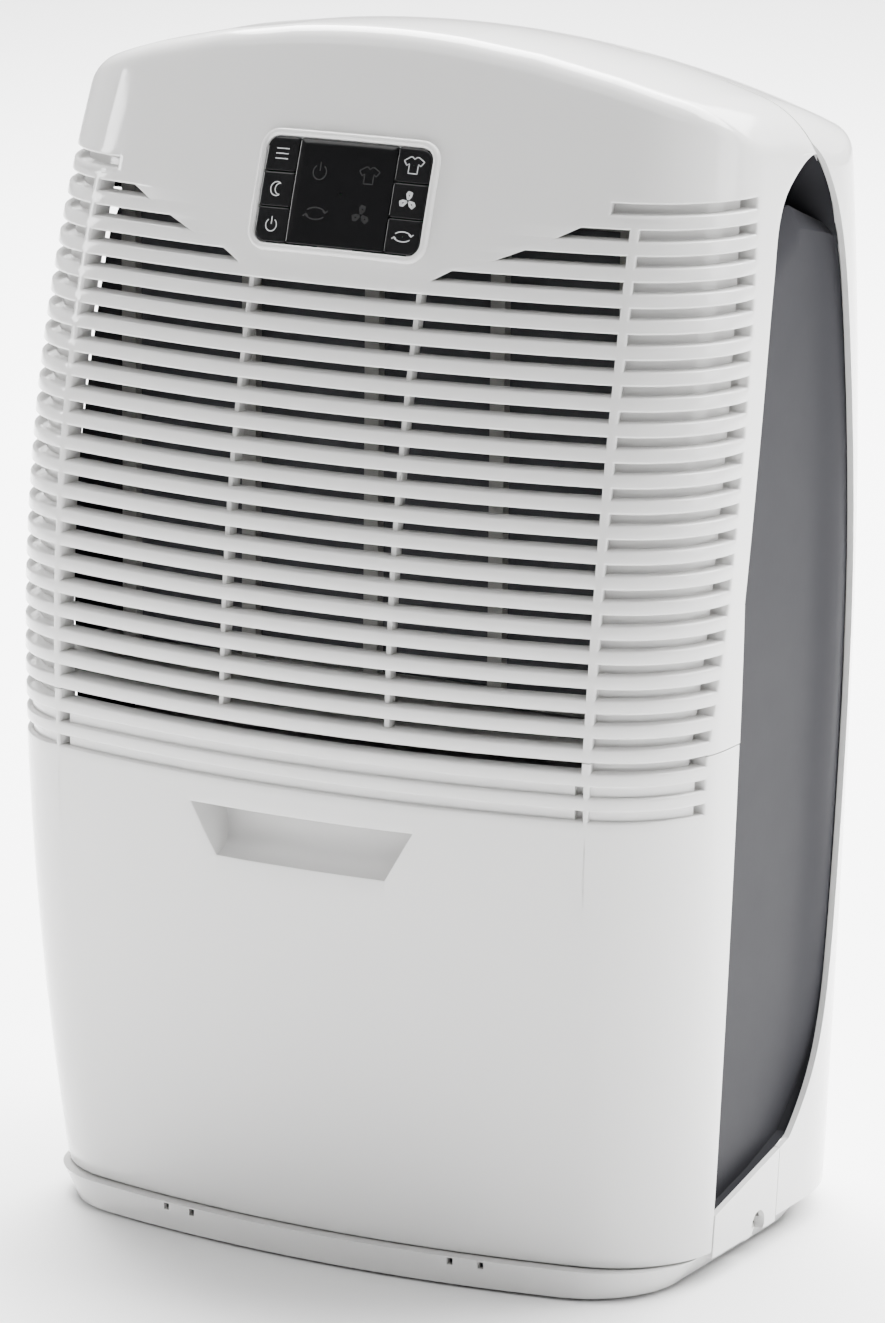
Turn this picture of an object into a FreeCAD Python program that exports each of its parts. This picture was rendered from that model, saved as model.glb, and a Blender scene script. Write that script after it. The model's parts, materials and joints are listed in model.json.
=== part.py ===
import FreeCAD, Part
import math
import os

from FreeCAD import Vector

# Portable compressor dehumidifier.  Millimetres, +Z up, front towards -Y, +X to the right
# of a person who faces the front.  The origin is on the floor, under the middle of the box.

# ---- overall size -------------------------------------------------------------------------
WIDTH = 342.0
DEPTH = 258.0
HEIGHT = 535.0

# ---- outer form ---------------------------------------------------------------------------
BELLY_Z = 0.4262 * HEIGHT            # height where the front face stands furthest forward
LOWER_DRAW = 24.6          # how far the face has drawn back at the floor
UPPER_DRAW = 61.9          # how far the face has drawn back at the very top
LOWER_POWER = 1.9
UPPER_POWER = 2.1
WIDEST_Z = 0.5607 * HEIGHT           # height where the sides stand furthest out
FOOT_DRAW = 10.3           # how far each side has drawn in at the floor
CROWN_DRAW = 11.8          # how far each side has drawn in at the very top
FOOT_POWER = 1.4
CROWN_POWER = 2.2
FRONT_CROWN_R = 560.0      # plan radius of the bowed front
FRONT_CORNER_R = 52.0
REAR_CORNER_R = 85.0
REAR_CROWN_R = 900.0
ARCH_R = 1.272 * WIDTH             # radius of the arched top, seen from the front
SHOULDER_R = 45.0
SHOULDER_INSET = 2.0       # shoulder arc's outermost point, in from half the width
DOME_R = 400.0             # radius of the top, seen from the side
CREST_Y = -0.2016 * DEPTH
FOLD_R = 12.0              # rounding between face and top

# ---- shells -------------------------------------------------------------------------------
WALL = 2.8
SEAM_GAP = 0.5
SEAM_Y = 0.0992 * DEPTH              # seam over the top, between the front and the rear cover
SIDE_SEAM_Y = 0.0465 * DEPTH         # seam low on the side, between the base and the rear cover
SIDE_SEAM_TOP = 60.0
OPENING_FRONT_Y = -0.186 * DEPTH  # front edge of the side opening
OPENING_FOOT_Z = 31.0
SIDE_INSET = 4.2           # side panels, in from the outer form
SIDE_WALL = 2.5
GRIP_DEPTH = 30.0          # back of the hand grip, in from the outer form
OPENING_BELOW_TOP = 47.5   # opening's apex, below the top of the body

# ---- louvres ------------------------------------------------------------------------------
SPLIT_Z = 0.448 * HEIGHT            # centre of the slot that parts the tank from the front cover
SLOT_PITCH = 10.44
SLOT_H = 4.5
LOUVRE_TOP = 65.5          # top groove's centre, below the top of the body
LOUVRE_DEPTH = 9.0
GROOVE_DEPTH = 6.3
SLOT_END_X = 0.3836 * WIDTH         # end of the open slots
SLOT_END_BOW = 2.4
SLOT_END_WALL = 4.0
RIB_X = 0.1202 * WIDTH
RIB_W = 2.5
RIB_RECESS = 3.6
GROOVE_END_LOW = OPENING_FRONT_Y - 28.3     # how far back the lowest corner groove runs
GROOVE_RISE_BACK = 2.02    # each higher groove runs this much further back
TANK_GROOVES = 2

# ---- control panel ------------------------------------------------------------------------
PANEL_BELOW_TOP = 68.0     # panel's centre, below the top of the body
PANEL_W = 87.0
PANEL_H = 52.5
PANEL_R = 9.0
RIM_W = 3.2
PANEL_PROUD = 2.4
GLASS_PROUD = 1.4
KEY_W = 15.6
KEY_GAP = 0.5
KEY_TRAVEL = 0.8
KEY_SKIN = 2.6

# ---- base ---------------------------------------------------------------------------------
GROUND_GAP = 1.5
BASE_TOP = 13.5
BASE_FRONT_SETBACK = 16.3  # base front, behind the belly of the face
BASE_SIDE_SETBACK = 22.0
BASE_FLARE = 9.0
BASE_REAR_SETBACK = 9.0
BASE_CORNER_R = 44.0
BASE_FLOOR = 3.0
FLANGE_W = 8.0             # rim of the base, turned in under the tank
FLANGE_T = 1.6
FOOT_R = 9.0
FOOT_SOCKET = 2.0
FOOT_X = 0.3275 * WIDTH
FOOT_FRONT_Y = -0.279 * DEPTH
FOOT_REAR_Y = 0.2713 * DEPTH
BOSS_Y = -0.0194 * DEPTH
BOSS_Z = 15.0
BOSS_R = 6.2
BOSS_DEPTH = 3.0
PAD_WALL = 2.0             # material round each screw boss
PAD_DEPTH = 14.0
SCREW_HEAD_R = 4.0
SCREW_SHANK_R = 1.9

# ---- tank ---------------------------------------------------------------------------------
TANK_DEPTH_Y = -0.031 * DEPTH        # back of the bucket
BUCKET_WALL = 2.0
BUCKET_FLOOR_Z = 16.5
BUCKET_TOP = SPLIT_Z - 67.7
LID_T = 2.0
LID_HOLE_R = 17.0
HANDLE_TOP_Z = SPLIT_Z - 35.9
HANDLE_FOOT_Z = HANDLE_TOP_Z - 22.2
HANDLE_TOP_X = 54.6
HANDLE_FOOT_X = 41.5
HANDLE_DEPTH = 21.0
FLOAT_PIVOT = (-70.0, TANK_DEPTH_Y - 26.0, BUCKET_TOP - 14.0)
FLOAT_REACH = 46.0
FLOAT_SIZE = (44.0, 26.0, 15.0)
PIN_R = 1.5
RUN_CLEAR = 0.05           # running clearance of pins and shafts
GAP = 0.4                  # gap between pieces that only lie near each other

# ---- air path -----------------------------------------------------------------------------
DECK_T = 3.0
EVAPORATOR_Y = -0.2016 * DEPTH
CONDENSER_Y = -0.0775 * DEPTH
FILTER_Y = EVAPORATOR_Y - 10.0
FILTER_T = 5.0
FILTER_BAR = 7.0
COIL_HALF_W = WIDTH / 2 - 53.0
COIL_T = 24.0
COIL_FOOT = 22.0           # coil foot above the deck
COIL_BELOW_TOP = 78.0
FIN_PITCH = 4.0
FIN_T = 0.6
TUBE_R = 4.0
TUBE_PAIR_H = 62.0          # height taken by two passes of the coil tube
SHROUD_Y = 0.0465 * DEPTH
SHROUD_T = 2.5
FILTER_COLUMNS = 4
HUB_WALL = 3.0
HUB_BOSS_WALL = 4.0
BLADE_T = 2.0
BLADE_SECTIONS = ((26.0, 52.0), (40.0, 38.0), (50.0, 28.0))     # chord and pitch from root to tip
MOTOR_WALL = 2.0
MOTOR_CAP_T = 7.0
MOTOR_SCREW_CIRCLE = 27.0
MOTOR_SCREW_R = 1.6
BRACKET_T = 3.0
BRACKET_RIM = 4.0
BRACKET_ARM_W = 14.0
BEARING_R = 9.0
BEARING_W = 6.0
ROTOR_R = 19.0
ROTOR_END_ROOM = 13.0
AIR_GAP = 0.6
FAN_R = 88.0
FAN_TIP_GAP = 3.0
FAN_DEPTH = 34.0
FAN_Y = SHROUD_Y + 8.0
FAN_BLADES = 7
HUB_R = 26.0
MOTOR_R = 38.0
MOTOR_LEN = 44.0
SHAFT_R = 4.0

# ---- compressor bay -----------------------------------------------------------------------
BAY_WALL_T = 2.5
BAY_WALL_Y = TANK_DEPTH_Y + 4.0
COMPRESSOR_X = 0.1696 * WIDTH
COMPRESSOR_Y = 0.2403 * DEPTH
COMPRESSOR_R = 50.0
COMPRESSOR_FOOT_Z = 20.0
COMPRESSOR_H = SPLIT_Z - 61.7
GROMMET_R = 8.0
ACCUMULATOR_R = 11.0
ACCUMULATOR_H = 92.0
STUD_R = 3.0
NUT_R = 5.2
STUD_OFFSET = 6.0          # studs stand this far outside the can
GROMMET_H = 12.0
CAN_ROUND = 17.0
LUG_T = 3.0
NUT_H = 5.0
TERMINAL_PROUD = 17.0
TERMINAL_W = 36.0
TERMINAL_H = 40.0
CAPACITOR_R = 17.0
CAPACITOR_H = 78.0
ELECTRICS_WALL = 2.0
ELECTRICS_DEPTH = 38.0
ELECTRICS_FOOT_Z = 44.0

# ---- rear cover ---------------------------------------------------------------------------
GRILLE_W = 196.0
GRILLE_CORNER_R = 14.0
GRILLE_PITCH = 12.0
GRILLE_SLOT_H = 6.0
GRILLE_BORDER = 12.0
GLAND_R = 8.0
GLAND_Z = 44.0
CORD_HOLE_R = 3.6


# ---- small helpers ------------------------------------------------------------------------
def vec(x, y, z):
    return Vector(x, y, z)


def box(x0, x1, y0, y1, z0, z1):
    return Part.makeBox(x1 - x0, y1 - y0, z1 - z0, vec(x0, y0, z0))


def tube(radius, start, end):
    direction = end.sub(start)
    return Part.makeCylinder(radius, direction.Length, start, direction)


def fuse(shapes):
    first = shapes[0]
    if len(shapes) == 1:
        return first
    return first.multiFuse(shapes[1:])


def prism(points, direction):
    wire = Part.makePolygon(points + [points[0]])
    return Part.Face(wire).extrude(direction)


def rounded_rectangle(width, height, radius):
    """Wire in the XY plane, centred on the origin."""
    a = width / 2 - radius
    b = height / 2 - radius
    edges = []
    corners = [(a, b, 0), (-a, b, 90), (-a, -b, 180), (a, -b, 270)]
    previous = None
    first = None
    for cx, cy, turn in corners:
        ends = [math.radians(turn + d) for d in (0, 45, 90)]
        arc = [vec(cx + radius * math.cos(q), cy + radius * math.sin(q), 0) for q in ends]
        if previous is not None:
            edges.append(Part.makeLine(previous, arc[0]))
        else:
            first = arc[0]
        edges.append(Part.Arc(*arc).toShape())
        previous = arc[2]
    edges.append(Part.makeLine(previous, first))
    return Part.Wire(edges)


# ---- the outer form -----------------------------------------------------------------------
def half_width(z):
    if z < WIDEST_Z:
        return WIDTH / 2 - FOOT_DRAW * ((WIDEST_Z - z) / WIDEST_Z) ** FOOT_POWER
    return WIDTH / 2 - CROWN_DRAW * ((z - WIDEST_Z) / (HEIGHT - WIDEST_Z)) ** CROWN_POWER


def face_y(z):
    if z < BELLY_Z:
        return -DEPTH / 2 + LOWER_DRAW * ((BELLY_Z - z) / BELLY_Z) ** LOWER_POWER
    return -DEPTH / 2 + UPPER_DRAW * ((z - BELLY_Z) / (HEIGHT - BELLY_Z)) ** UPPER_POWER


def face_lean(z):
    """Angle of the face from upright, in degrees."""
    return math.degrees(math.atan((face_y(z + 1) - face_y(z - 1)) / 2))


def plan_outline(half, front, rear, front_r, rear_r, z, front_crown=FRONT_CROWN_R):
    """Closed plan outline: bowed front, round corners, straight sides and a bowed rear."""
    front_c = vec(0, front + front_crown, z)
    rear_c = vec(0, rear - REAR_CROWN_R, z)
    fc = vec(half - front_r, front_c.y - math.sqrt((front_crown - front_r) ** 2 - (half - front_r) ** 2), z)
    rc = vec(half - rear_r, rear_c.y + math.sqrt((REAR_CROWN_R - rear_r) ** 2 - (half - rear_r) ** 2), z)
    front_dir = fc.sub(front_c).normalize()
    rear_dir = rc.sub(rear_c).normalize()
    p1 = front_c.add(vec(*(front_dir * front_crown)))
    p2 = vec(half, fc.y, z)
    p3 = vec(half, rc.y, z)
    p4 = rear_c.add(vec(*(rear_dir * REAR_CROWN_R)))
    mid_front = fc.add((front_dir.add(vec(1, 0, 0))).normalize() * front_r)
    mid_rear = rc.add((rear_dir.add(vec(1, 0, 0))).normalize() * rear_r)

    def left(p):
        return vec(-p.x, p.y, p.z)

    edges = [
        Part.Arc(left(p1), vec(0, front, z), p1).toShape(),
        Part.Arc(p1, mid_front, p2).toShape(),
        Part.makeLine(p2, p3),
        Part.Arc(p3, mid_rear, p4).toShape(),
        Part.Arc(p4, vec(0, rear, z), left(p4)).toShape(),
        Part.Arc(left(p4), left(mid_rear), left(p3)).toShape(),
        Part.makeLine(left(p3), left(p2)),
        Part.Arc(left(p2), left(mid_front), left(p1)).toShape(),
    ]
    return Part.Wire(edges)


def walls(inset, low, high):
    """The upright walls of the body, moved inwards by the inset."""
    count = 11
    wires = []
    for i in range(count):
        z = low + (high - low) * i / (count - 1)
        wires.append(plan_outline(half_width(z) - inset, face_y(z) + inset, DEPTH / 2 - inset,
                                  FRONT_CORNER_R - inset, REAR_CORNER_R - inset, z))
    return Part.makeLoft(wires, True, False)


def arch_outline(inset, y):
    """Outline of the arched top at one depth, closed far outside the body."""
    top = HEIGHT - inset - (y - CREST_Y) ** 2 / (2 * DOME_R)
    big = ARCH_R - inset
    small = SHOULDER_R - inset
    centre = vec(0, y, top - big)
    cx = WIDTH / 2 - SHOULDER_INSET - SHOULDER_R
    shoulder = vec(cx, y, centre.z + math.sqrt((big - small) ** 2 - cx ** 2))
    direction = shoulder.sub(centre).normalize()
    p1 = centre.add(direction * big)
    mid = shoulder.add((direction.add(vec(1, 0, 0))).normalize() * small)
    p2 = shoulder.add(vec(small, 0, 0))
    outside = WIDTH / 2 + 30
    p3 = vec(outside, y, p2.z - 70)
    p4 = vec(outside, y, -60)

    def left(p):
        return vec(-p.x, p.y, p.z)

    return Part.Wire([
        Part.Arc(left(p1), vec(0, y, top), p1).toShape(),
        Part.Arc(p1, mid, p2).toShape(),
        Part.makeLine(p2, p3),
        Part.makeLine(p3, p4),
        Part.makeLine(p4, left(p4)),
        Part.makeLine(left(p4), left(p3)),
        Part.makeLine(left(p3), left(p2)),
        Part.Arc(left(p2), left(mid), left(p1)).toShape(),
    ])


def sharp_edges(solid, low, limit=8.0):
    """Edges above a height whose two faces meet at more than the limit, in degrees."""
    found = []
    for edge in solid.Edges:
        middle = edge.valueAt((edge.FirstParameter + edge.LastParameter) / 2)
        if middle.z < low:
            continue
        normals = []
        for face in solid.ancestorsOfType(edge, Part.Face):
            u, v = face.Surface.parameter(middle)
            normals.append(face.normalAt(u, v))
        if len(normals) == 2 and math.degrees(normals[0].getAngle(normals[1])) > limit:
            found.append(edge)
    return found


def body(inset, low=BASE_TOP):
    """The whole outer form, moved inwards by the inset."""
    upright = walls(inset, low, HEIGHT + 6)
    reach = DEPTH / 2 + 12
    ys = [-reach + 2 * reach * i / 6 for i in range(7)]
    dome = Part.makeLoft([arch_outline(inset, y) for y in ys], True, False)
    solid = upright.common(dome).Solids[0]
    fold = FOLD_R - inset
    if fold > 1:
        solid = solid.makeFillet(fold, sharp_edges(solid, HEIGHT - 95))
    return solid


def panel_place(shape):
    """Move a shape from the panel's own frame (X right, Y up the face, Z outwards) to the face."""
    z = HEIGHT - PANEL_BELOW_TOP
    lean = face_lean(z)
    turned = shape.copy()
    turned.Placement = FreeCAD.Placement(vec(0, face_y(z), z), FreeCAD.Rotation(vec(1, 0, 0), 90 - lean))
    return turned


def panel_prism(width, height, radius, x=0.0, y=0.0, back=-16.0, front=14.0):
    """Rounded bar that stands square to the face."""
    face = Part.Face(rounded_rectangle(width, height, radius))
    face.translate(vec(x, y, back))
    return panel_place(face.extrude(vec(0, 0, front - back)))


# ---- shells -------------------------------------------------------------------------------
def side_opening(ahead, behind):
    """The leaf-shaped opening in both sides, grown ahead of its front edge and behind its rear edge."""
    top = HEIGHT - OPENING_BELOW_TOP
    foot_z = OPENING_FOOT_Z
    tall = top - foot_z
    front = OPENING_FRONT_Y - ahead
    knee = foot_z + 0.5946 * tall
    apex = vec(0, SEAM_Y, top + behind)
    foot = vec(0, front, foot_z - behind)
    rise = Part.BSplineCurve()
    rise.interpolate([
        vec(0, front, knee),
        vec(0, front + 0.0492 * DEPTH, foot_z + 0.736 * tall),
        vec(0, front + 0.1136 * DEPTH, foot_z + 0.8894 * tall),
        vec(0, front + 0.1628 * DEPTH, foot_z + 0.9562 * tall),
        apex,
    ])
    end = vec(0, 0.0806 * DEPTH + 0.8 * behind, foot_z + 0.0362 * tall - 0.6 * behind)
    back = Part.BSplineCurve()
    back.interpolate([
        apex,
        vec(0, 0.1647 * DEPTH + behind, foot_z + 0.9441 * tall),
        vec(0, 0.2101 * DEPTH + behind, foot_z + 0.805 * tall),
        vec(0, 0.2453 * DEPTH + behind, foot_z + 0.5684 * tall),
        vec(0, 0.2256 * DEPTH + behind, foot_z + 0.2585 * tall),
        vec(0, 0.1694 * DEPTH + behind, foot_z + 0.103 * tall),
        end,
    ])
    edges = [
        Part.makeLine(foot, vec(0, front, knee)),
        rise.toShape(),
        back.toShape(),
        Part.makeLine(end, foot),
    ]
    face = Part.Face(Part.Wire(edges))
    face.translate(vec(-WIDTH, 0, 0))
    return face.extrude(vec(2 * WIDTH, 0, 0))


def row_z(row):
    """Row 0 is the slot at the split, higher rows are above it, negative rows are on the tank."""
    return SPLIT_Z + row * SLOT_PITCH


def top_row():
    return int(round((HEIGHT - LOUVRE_TOP - SPLIT_Z) / SLOT_PITCH))


def slot_start(row):
    """Inner lower and upper ends of a row, which climbs past the control panel."""
    below = top_row() - row
    if below == 0:
        return None
    edge = PANEL_W / 2
    steps = {1: (edge + 56.5, edge + 65.5), 2: (edge + 31.9, edge + 43.0), 3: (edge + 4.0, edge + 12.1)}
    return steps.get(below, (0.0, 0.0))


def slot_end(row):
    middle = (top_row() + 1) / 2
    return SLOT_END_X - SLOT_END_BOW * ((row - middle) / middle) ** 2


def slab(points, z0, z1):
    return prism([vec(x, y, z0) for x, y in points], vec(0, 0, z1 - z0))


def louvre_cutters():
    """Open slots through the front wall, with the two upright ribs left standing."""
    deep = -DEPTH / 2 - 5
    back = -DEPTH / 2 + 78
    cutters = []
    for row in range(0, top_row()):
        z = row_z(row)
        low, high = slot_start(row)
        end = slot_end(row)
        for side in (-1, 1):
            outline = [
                vec(side * low, deep, z - SLOT_H / 2),
                vec(side * end, deep, z - SLOT_H / 2),
                vec(side * end, deep, z + SLOT_H / 2),
                vec(side * high, deep, z + SLOT_H / 2),
            ]
            if low == high:
                outline[0].x = 0.0
                outline[3].x = 0.0
            cutters.append(prism(outline, vec(0, back - deep, 0)))
    return cutters


def groove_cutters(rows):
    """Shallow grooves that carry each slot on round the corners."""
    cutters = []
    for row in rows:
        z = row_z(row)
        top = top_row()
        start = slot_end(row) + SLOT_END_WALL
        if row == top:
            start = slot_start(row - 1)[1] + 12.0
        if row < 0:
            start = RIB_X + RIB_W
        end_y = GROOVE_END_LOW + GROOVE_RISE_BACK * max(row, 0)
        for side in (-1, 1):
            points = [(side * start, -DEPTH), (side * WIDTH, -DEPTH),
                      (side * WIDTH, end_y), (side * start, end_y)]
            cutters.append(slab(points, z - SLOT_H / 2, z + SLOT_H / 2))
            if row < 0:
                edge = side * (RIB_X - RIB_W)
                inner = [(0, -DEPTH), (edge, -DEPTH), (edge, end_y), (0, end_y)]
                cutters.append(slab(inner, z - SLOT_H / 2, z + SLOT_H / 2))
    return cutters


def ribs():
    high = row_z(top_row())
    bars = []
    for side in (-1, 1):
        x = side * RIB_X
        bars.append(box(x - RIB_W / 2, x + RIB_W / 2, -DEPTH, 0, SPLIT_Z - 5, high))
    return fuse(bars)


def thick_zone(top):
    """Band of the front, behind the louvres, that is thicker than the skin."""
    back_low = GROOVE_END_LOW + 4
    back_high = back_low + GROOVE_RISE_BACK * (top_row() + 1)
    points = [
        vec(-WIDTH, -DEPTH, row_z(-TANK_GROOVES) - 8),
        vec(-WIDTH, back_low, row_z(-TANK_GROOVES) - 8),
        vec(-WIDTH, back_low, SPLIT_Z),
        vec(-WIDTH, back_high, top),
        vec(-WIDTH, -DEPTH, top),
    ]
    return prism(points, vec(2 * WIDTH, 0, 0))


def make_covers():
    """Front cover and tank front share one thick louvred band; the rear cover closes the back."""
    outer = body(0)
    skin = outer.cut(body(WALL))
    opening = side_opening(0, 0)
    split = SPLIT_Z + SLOT_H / 2
    seam_front = SEAM_Y - SEAM_GAP / 2
    seam_rear = SEAM_Y + SEAM_GAP / 2
    thick = outer.cut(body(LOUVRE_DEPTH)).common(thick_zone(row_z(top_row()) + 8))
    grooves = fuse(groove_cutters(list(range(-TANK_GROOVES, top_row() + 1)))).cut(body(GROOVE_DEPTH))
    slots = fuse(louvre_cutters()).cut(ribs().common(body(RIB_RECESS)))
    panel_hole = panel_prism(PANEL_W + 2 * GAP, PANEL_H + 2 * GAP, PANEL_R + GAP)

    def band(low, high):
        part = thick.common(box(-WIDTH, WIDTH, -DEPTH, 0, low, high))
        return part.cut(grooves)

    front_band = band(split, HEIGHT).cut(slots)
    front_skin = skin.common(box(-WIDTH, WIDTH, -DEPTH, seam_front, split, HEIGHT + 5)).cut(opening)
    front_skin = front_skin.cut(thick_zone(row_z(top_row()) + 8))
    front = front_skin.fuse(front_band).cut(panel_hole)

    rear = skin.common(box(-WIDTH, WIDTH, seam_rear, DEPTH, BASE_TOP + SEAM_GAP, HEIGHT + 5))
    low_side = skin.common(box(-WIDTH, WIDTH, SIDE_SEAM_Y + SEAM_GAP, seam_rear + 1,
                               BASE_TOP + SEAM_GAP, SIDE_SEAM_TOP))
    rear = rear.fuse(low_side).cut(opening)

    tank_top = split - SEAM_GAP
    tank_skin = skin.common(box(-WIDTH, WIDTH, -DEPTH, OPENING_FRONT_Y - SEAM_GAP,
                                BASE_TOP + SEAM_GAP, tank_top))
    tank_skin = tank_skin.cut(thick_zone(row_z(top_row()) + 8))
    tank = tank_skin.fuse(band(BASE_TOP, tank_top))
    notch = box(-slot_end(0), slot_end(0), -DEPTH, 0, SPLIT_Z - SLOT_H / 2, tank_top + 5)
    tank = tank.cut(notch)
    return outer, skin, front, rear, tank


def make_panel():
    """Control panel: raised rim, black window, six keys and the board behind them."""
    window_w = PANEL_W - 2 * RIM_W
    window_h = PANEL_H - 2 * RIM_W
    layer = body(-PANEL_PROUD).cut(body(WALL + 1.0))
    rim = layer.common(panel_prism(PANEL_W, PANEL_H, PANEL_R))
    rim = rim.cut(panel_prism(window_w, window_h, PANEL_R - RIM_W))
    glass_layer = body(-GLASS_PROUD).cut(body(KEY_SKIN - GLASS_PROUD))
    window = glass_layer.common(panel_prism(window_w - 2 * KEY_GAP, window_h - 2 * KEY_GAP,
                                            PANEL_R - RIM_W - KEY_GAP))
    glass_w = window_w - 2 * (KEY_W + 2 * KEY_GAP)
    nodes = {
        "control_bezel": rim,
        "display_window": glass_layer.common(panel_prism(glass_w, window_h - 2 * KEY_GAP, 1.0)),
    }
    key_h = (window_h - 4 * KEY_GAP) / 3
    key_x = window_w / 2 - KEY_GAP - KEY_W / 2
    names = {
        -1: ["power_key", "boost_key", "menu_key"],
        1: ["cycle_key", "fan_key", "laundry_key"],
    }
    for side, column in names.items():
        for i, name in enumerate(column):
            y = -window_h / 2 + KEY_GAP + key_h / 2 + i * (key_h + KEY_GAP)
            key = window.common(panel_prism(KEY_W, key_h, 1.0, side * key_x, y))
            nodes[name] = key
    board_back = -(KEY_SKIN + 4.5)
    board = Part.Face(rounded_rectangle(window_w + 4, window_h + 2, PANEL_R))
    board = board.extrude(vec(0, 0, 1.6))
    board.translate(vec(0, 0, board_back - 1.6))
    parts = [board]
    for side in (-1, 1):
        for i in range(3):
            y = -window_h / 2 + KEY_GAP + key_h / 2 + i * (key_h + KEY_GAP)
            parts.append(Part.makeCylinder(2.2, 1.8, vec(side * (key_x - 1), y, board_back)))
    nodes["display_board"] = panel_place(fuse(parts))
    return nodes


def base_outline(z):
    share = (z - GROUND_GAP) / (BASE_TOP - GROUND_GAP)
    half = WIDTH / 2 - BASE_SIDE_SETBACK + BASE_FLARE * share
    front = -DEPTH / 2 + BASE_FRONT_SETBACK
    rear = DEPTH / 2 - BASE_REAR_SETBACK
    return half, front, rear


def base_block(inset, low, high):
    """Tapered block that stands inside the base's outer face by the inset."""
    wires = []
    for z in (low, high):
        half, front, rear = base_outline(z)
        wires.append(plan_outline(half - inset, front + inset, rear - inset,
                                  BASE_CORNER_R - inset, REAR_CORNER_R - inset, z))
    return Part.makeLoft(wires, True, False)


def feet_places():
    return [(x, y) for x in (-FOOT_X, FOOT_X) for y in (FOOT_FRONT_Y, FOOT_REAR_Y)]


def stud_places():
    places = []
    for k in range(3):
        angle = math.radians(120 * k)
        reach = COMPRESSOR_R + STUD_OFFSET
        places.append((COMPRESSOR_X + reach * math.cos(angle), COMPRESSOR_Y + reach * math.sin(angle)))
    return places


def make_base(skin):
    floor_top = GROUND_GAP + BASE_FLOOR
    tray = base_block(0, GROUND_GAP, BASE_TOP)
    tray = tray.cut(base_block(WALL, floor_top, BASE_TOP - FLANGE_T))
    tray = tray.cut(base_block(WALL + FLANGE_W, BASE_TOP - FLANGE_T - 1, BASE_TOP + 1))
    wing_zone = box(-WIDTH, WIDTH, OPENING_FRONT_Y, SIDE_SEAM_Y, BASE_TOP, SIDE_SEAM_TOP)
    wings = skin.common(wing_zone).cut(side_opening(0, 0))
    half_top = base_outline(BASE_TOP)[0]
    ledges = body(0, BASE_TOP - 2).common(
        box(-WIDTH, WIDTH, OPENING_FRONT_Y, SIDE_SEAM_Y, BASE_TOP - 2, BASE_TOP + 3))
    ledges = ledges.cut(box(-half_top + WALL, half_top - WALL, -DEPTH, DEPTH, 0, HEIGHT))
    tray = tray.fuse([wings, ledges])
    rails = [box(x - 2, x + 2, -DEPTH / 2 + 40, BAY_WALL_Y - 6, floor_top, BASE_TOP) for x in (-70, 70)]
    posts = [Part.makeCylinder(GROMMET_R + 1, COMPRESSOR_FOOT_Z - floor_top, vec(x, y, floor_top))
             for x, y in stud_places()]
    tray = tray.fuse(rails + posts)
    for x, y in stud_places():
        tray = tray.cut(Part.makeCylinder(STUD_R, 12, vec(x, y, COMPRESSOR_FOOT_Z - 12)))
    for x, y in feet_places():
        tray = tray.cut(Part.makeCylinder(FOOT_R, FOOT_SOCKET, vec(x, y, GROUND_GAP)))
    holes = []
    for x in (65.2, 79.3):
        for side in (-1, 1):
            holes.append(box(side * x - 1.4, side * x + 1.4, -DEPTH, -DEPTH / 2 + 40,
                             BASE_TOP - 3.6, BASE_TOP - 0.6))
    tray = tray.cut(fuse(holes))
    bucket_half = half_width(BOSS_Z + BOSS_R + PAD_WALL) - LOUVRE_DEPTH
    bucket_room = box(-bucket_half, bucket_half, -DEPTH, TANK_DEPTH_Y + GAP, BUCKET_FLOOR_Z - GAP, HEIGHT)
    boss_holes = []
    screws = []
    for side in (-1, 1):
        surface = WIDTH / 2 - FOOT_DRAW + 0.4
        seat = side * (surface - BOSS_DEPTH - 2)
        boss_holes.append(tube(BOSS_R, vec(seat, BOSS_Y, BOSS_Z), vec(side * WIDTH, BOSS_Y, BOSS_Z)))
        head = tube(SCREW_HEAD_R, vec(seat, BOSS_Y, BOSS_Z), vec(seat + side * 2.2, BOSS_Y, BOSS_Z))
        shank = tube(SCREW_SHANK_R, vec(seat - side * 12, BOSS_Y, BOSS_Z), vec(seat, BOSS_Y, BOSS_Z))
        slot = box(-WIDTH, WIDTH, BOSS_Y - 0.5, BOSS_Y + 0.5, BOSS_Z - 2.6, BOSS_Z + 2.6)
        cross = box(-WIDTH, WIDTH, BOSS_Y - 2.6, BOSS_Y + 2.6, BOSS_Z - 0.5, BOSS_Z + 0.5)
        drive = fuse([slot, cross]).common(tube(SCREW_HEAD_R, vec(seat + side * 1.0, BOSS_Y, BOSS_Z),
                                                vec(seat + side * 4, BOSS_Y, BOSS_Z)))
        screws.append(head.fuse(shank).cut(drive))
        pad = tube(BOSS_R + PAD_WALL, vec(seat - side * PAD_DEPTH, BOSS_Y, BOSS_Z), vec(seat, BOSS_Y, BOSS_Z))
        tray = tray.fuse(pad.cut(bucket_room))
        tray = tray.cut(tube(SCREW_SHANK_R, vec(seat - side * 12, BOSS_Y, BOSS_Z), vec(seat, BOSS_Y, BOSS_Z)))
    tray = tray.cut(fuse(boss_holes))
    feet = [Part.makeCylinder(FOOT_R, GROUND_GAP + FOOT_SOCKET, vec(x, y, 0)) for x, y in feet_places()]
    return {
        "base_tray": tray,
        "rubber_feet": Part.Compound(feet),
        "base_screws": Part.Compound(screws),
    }


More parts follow.
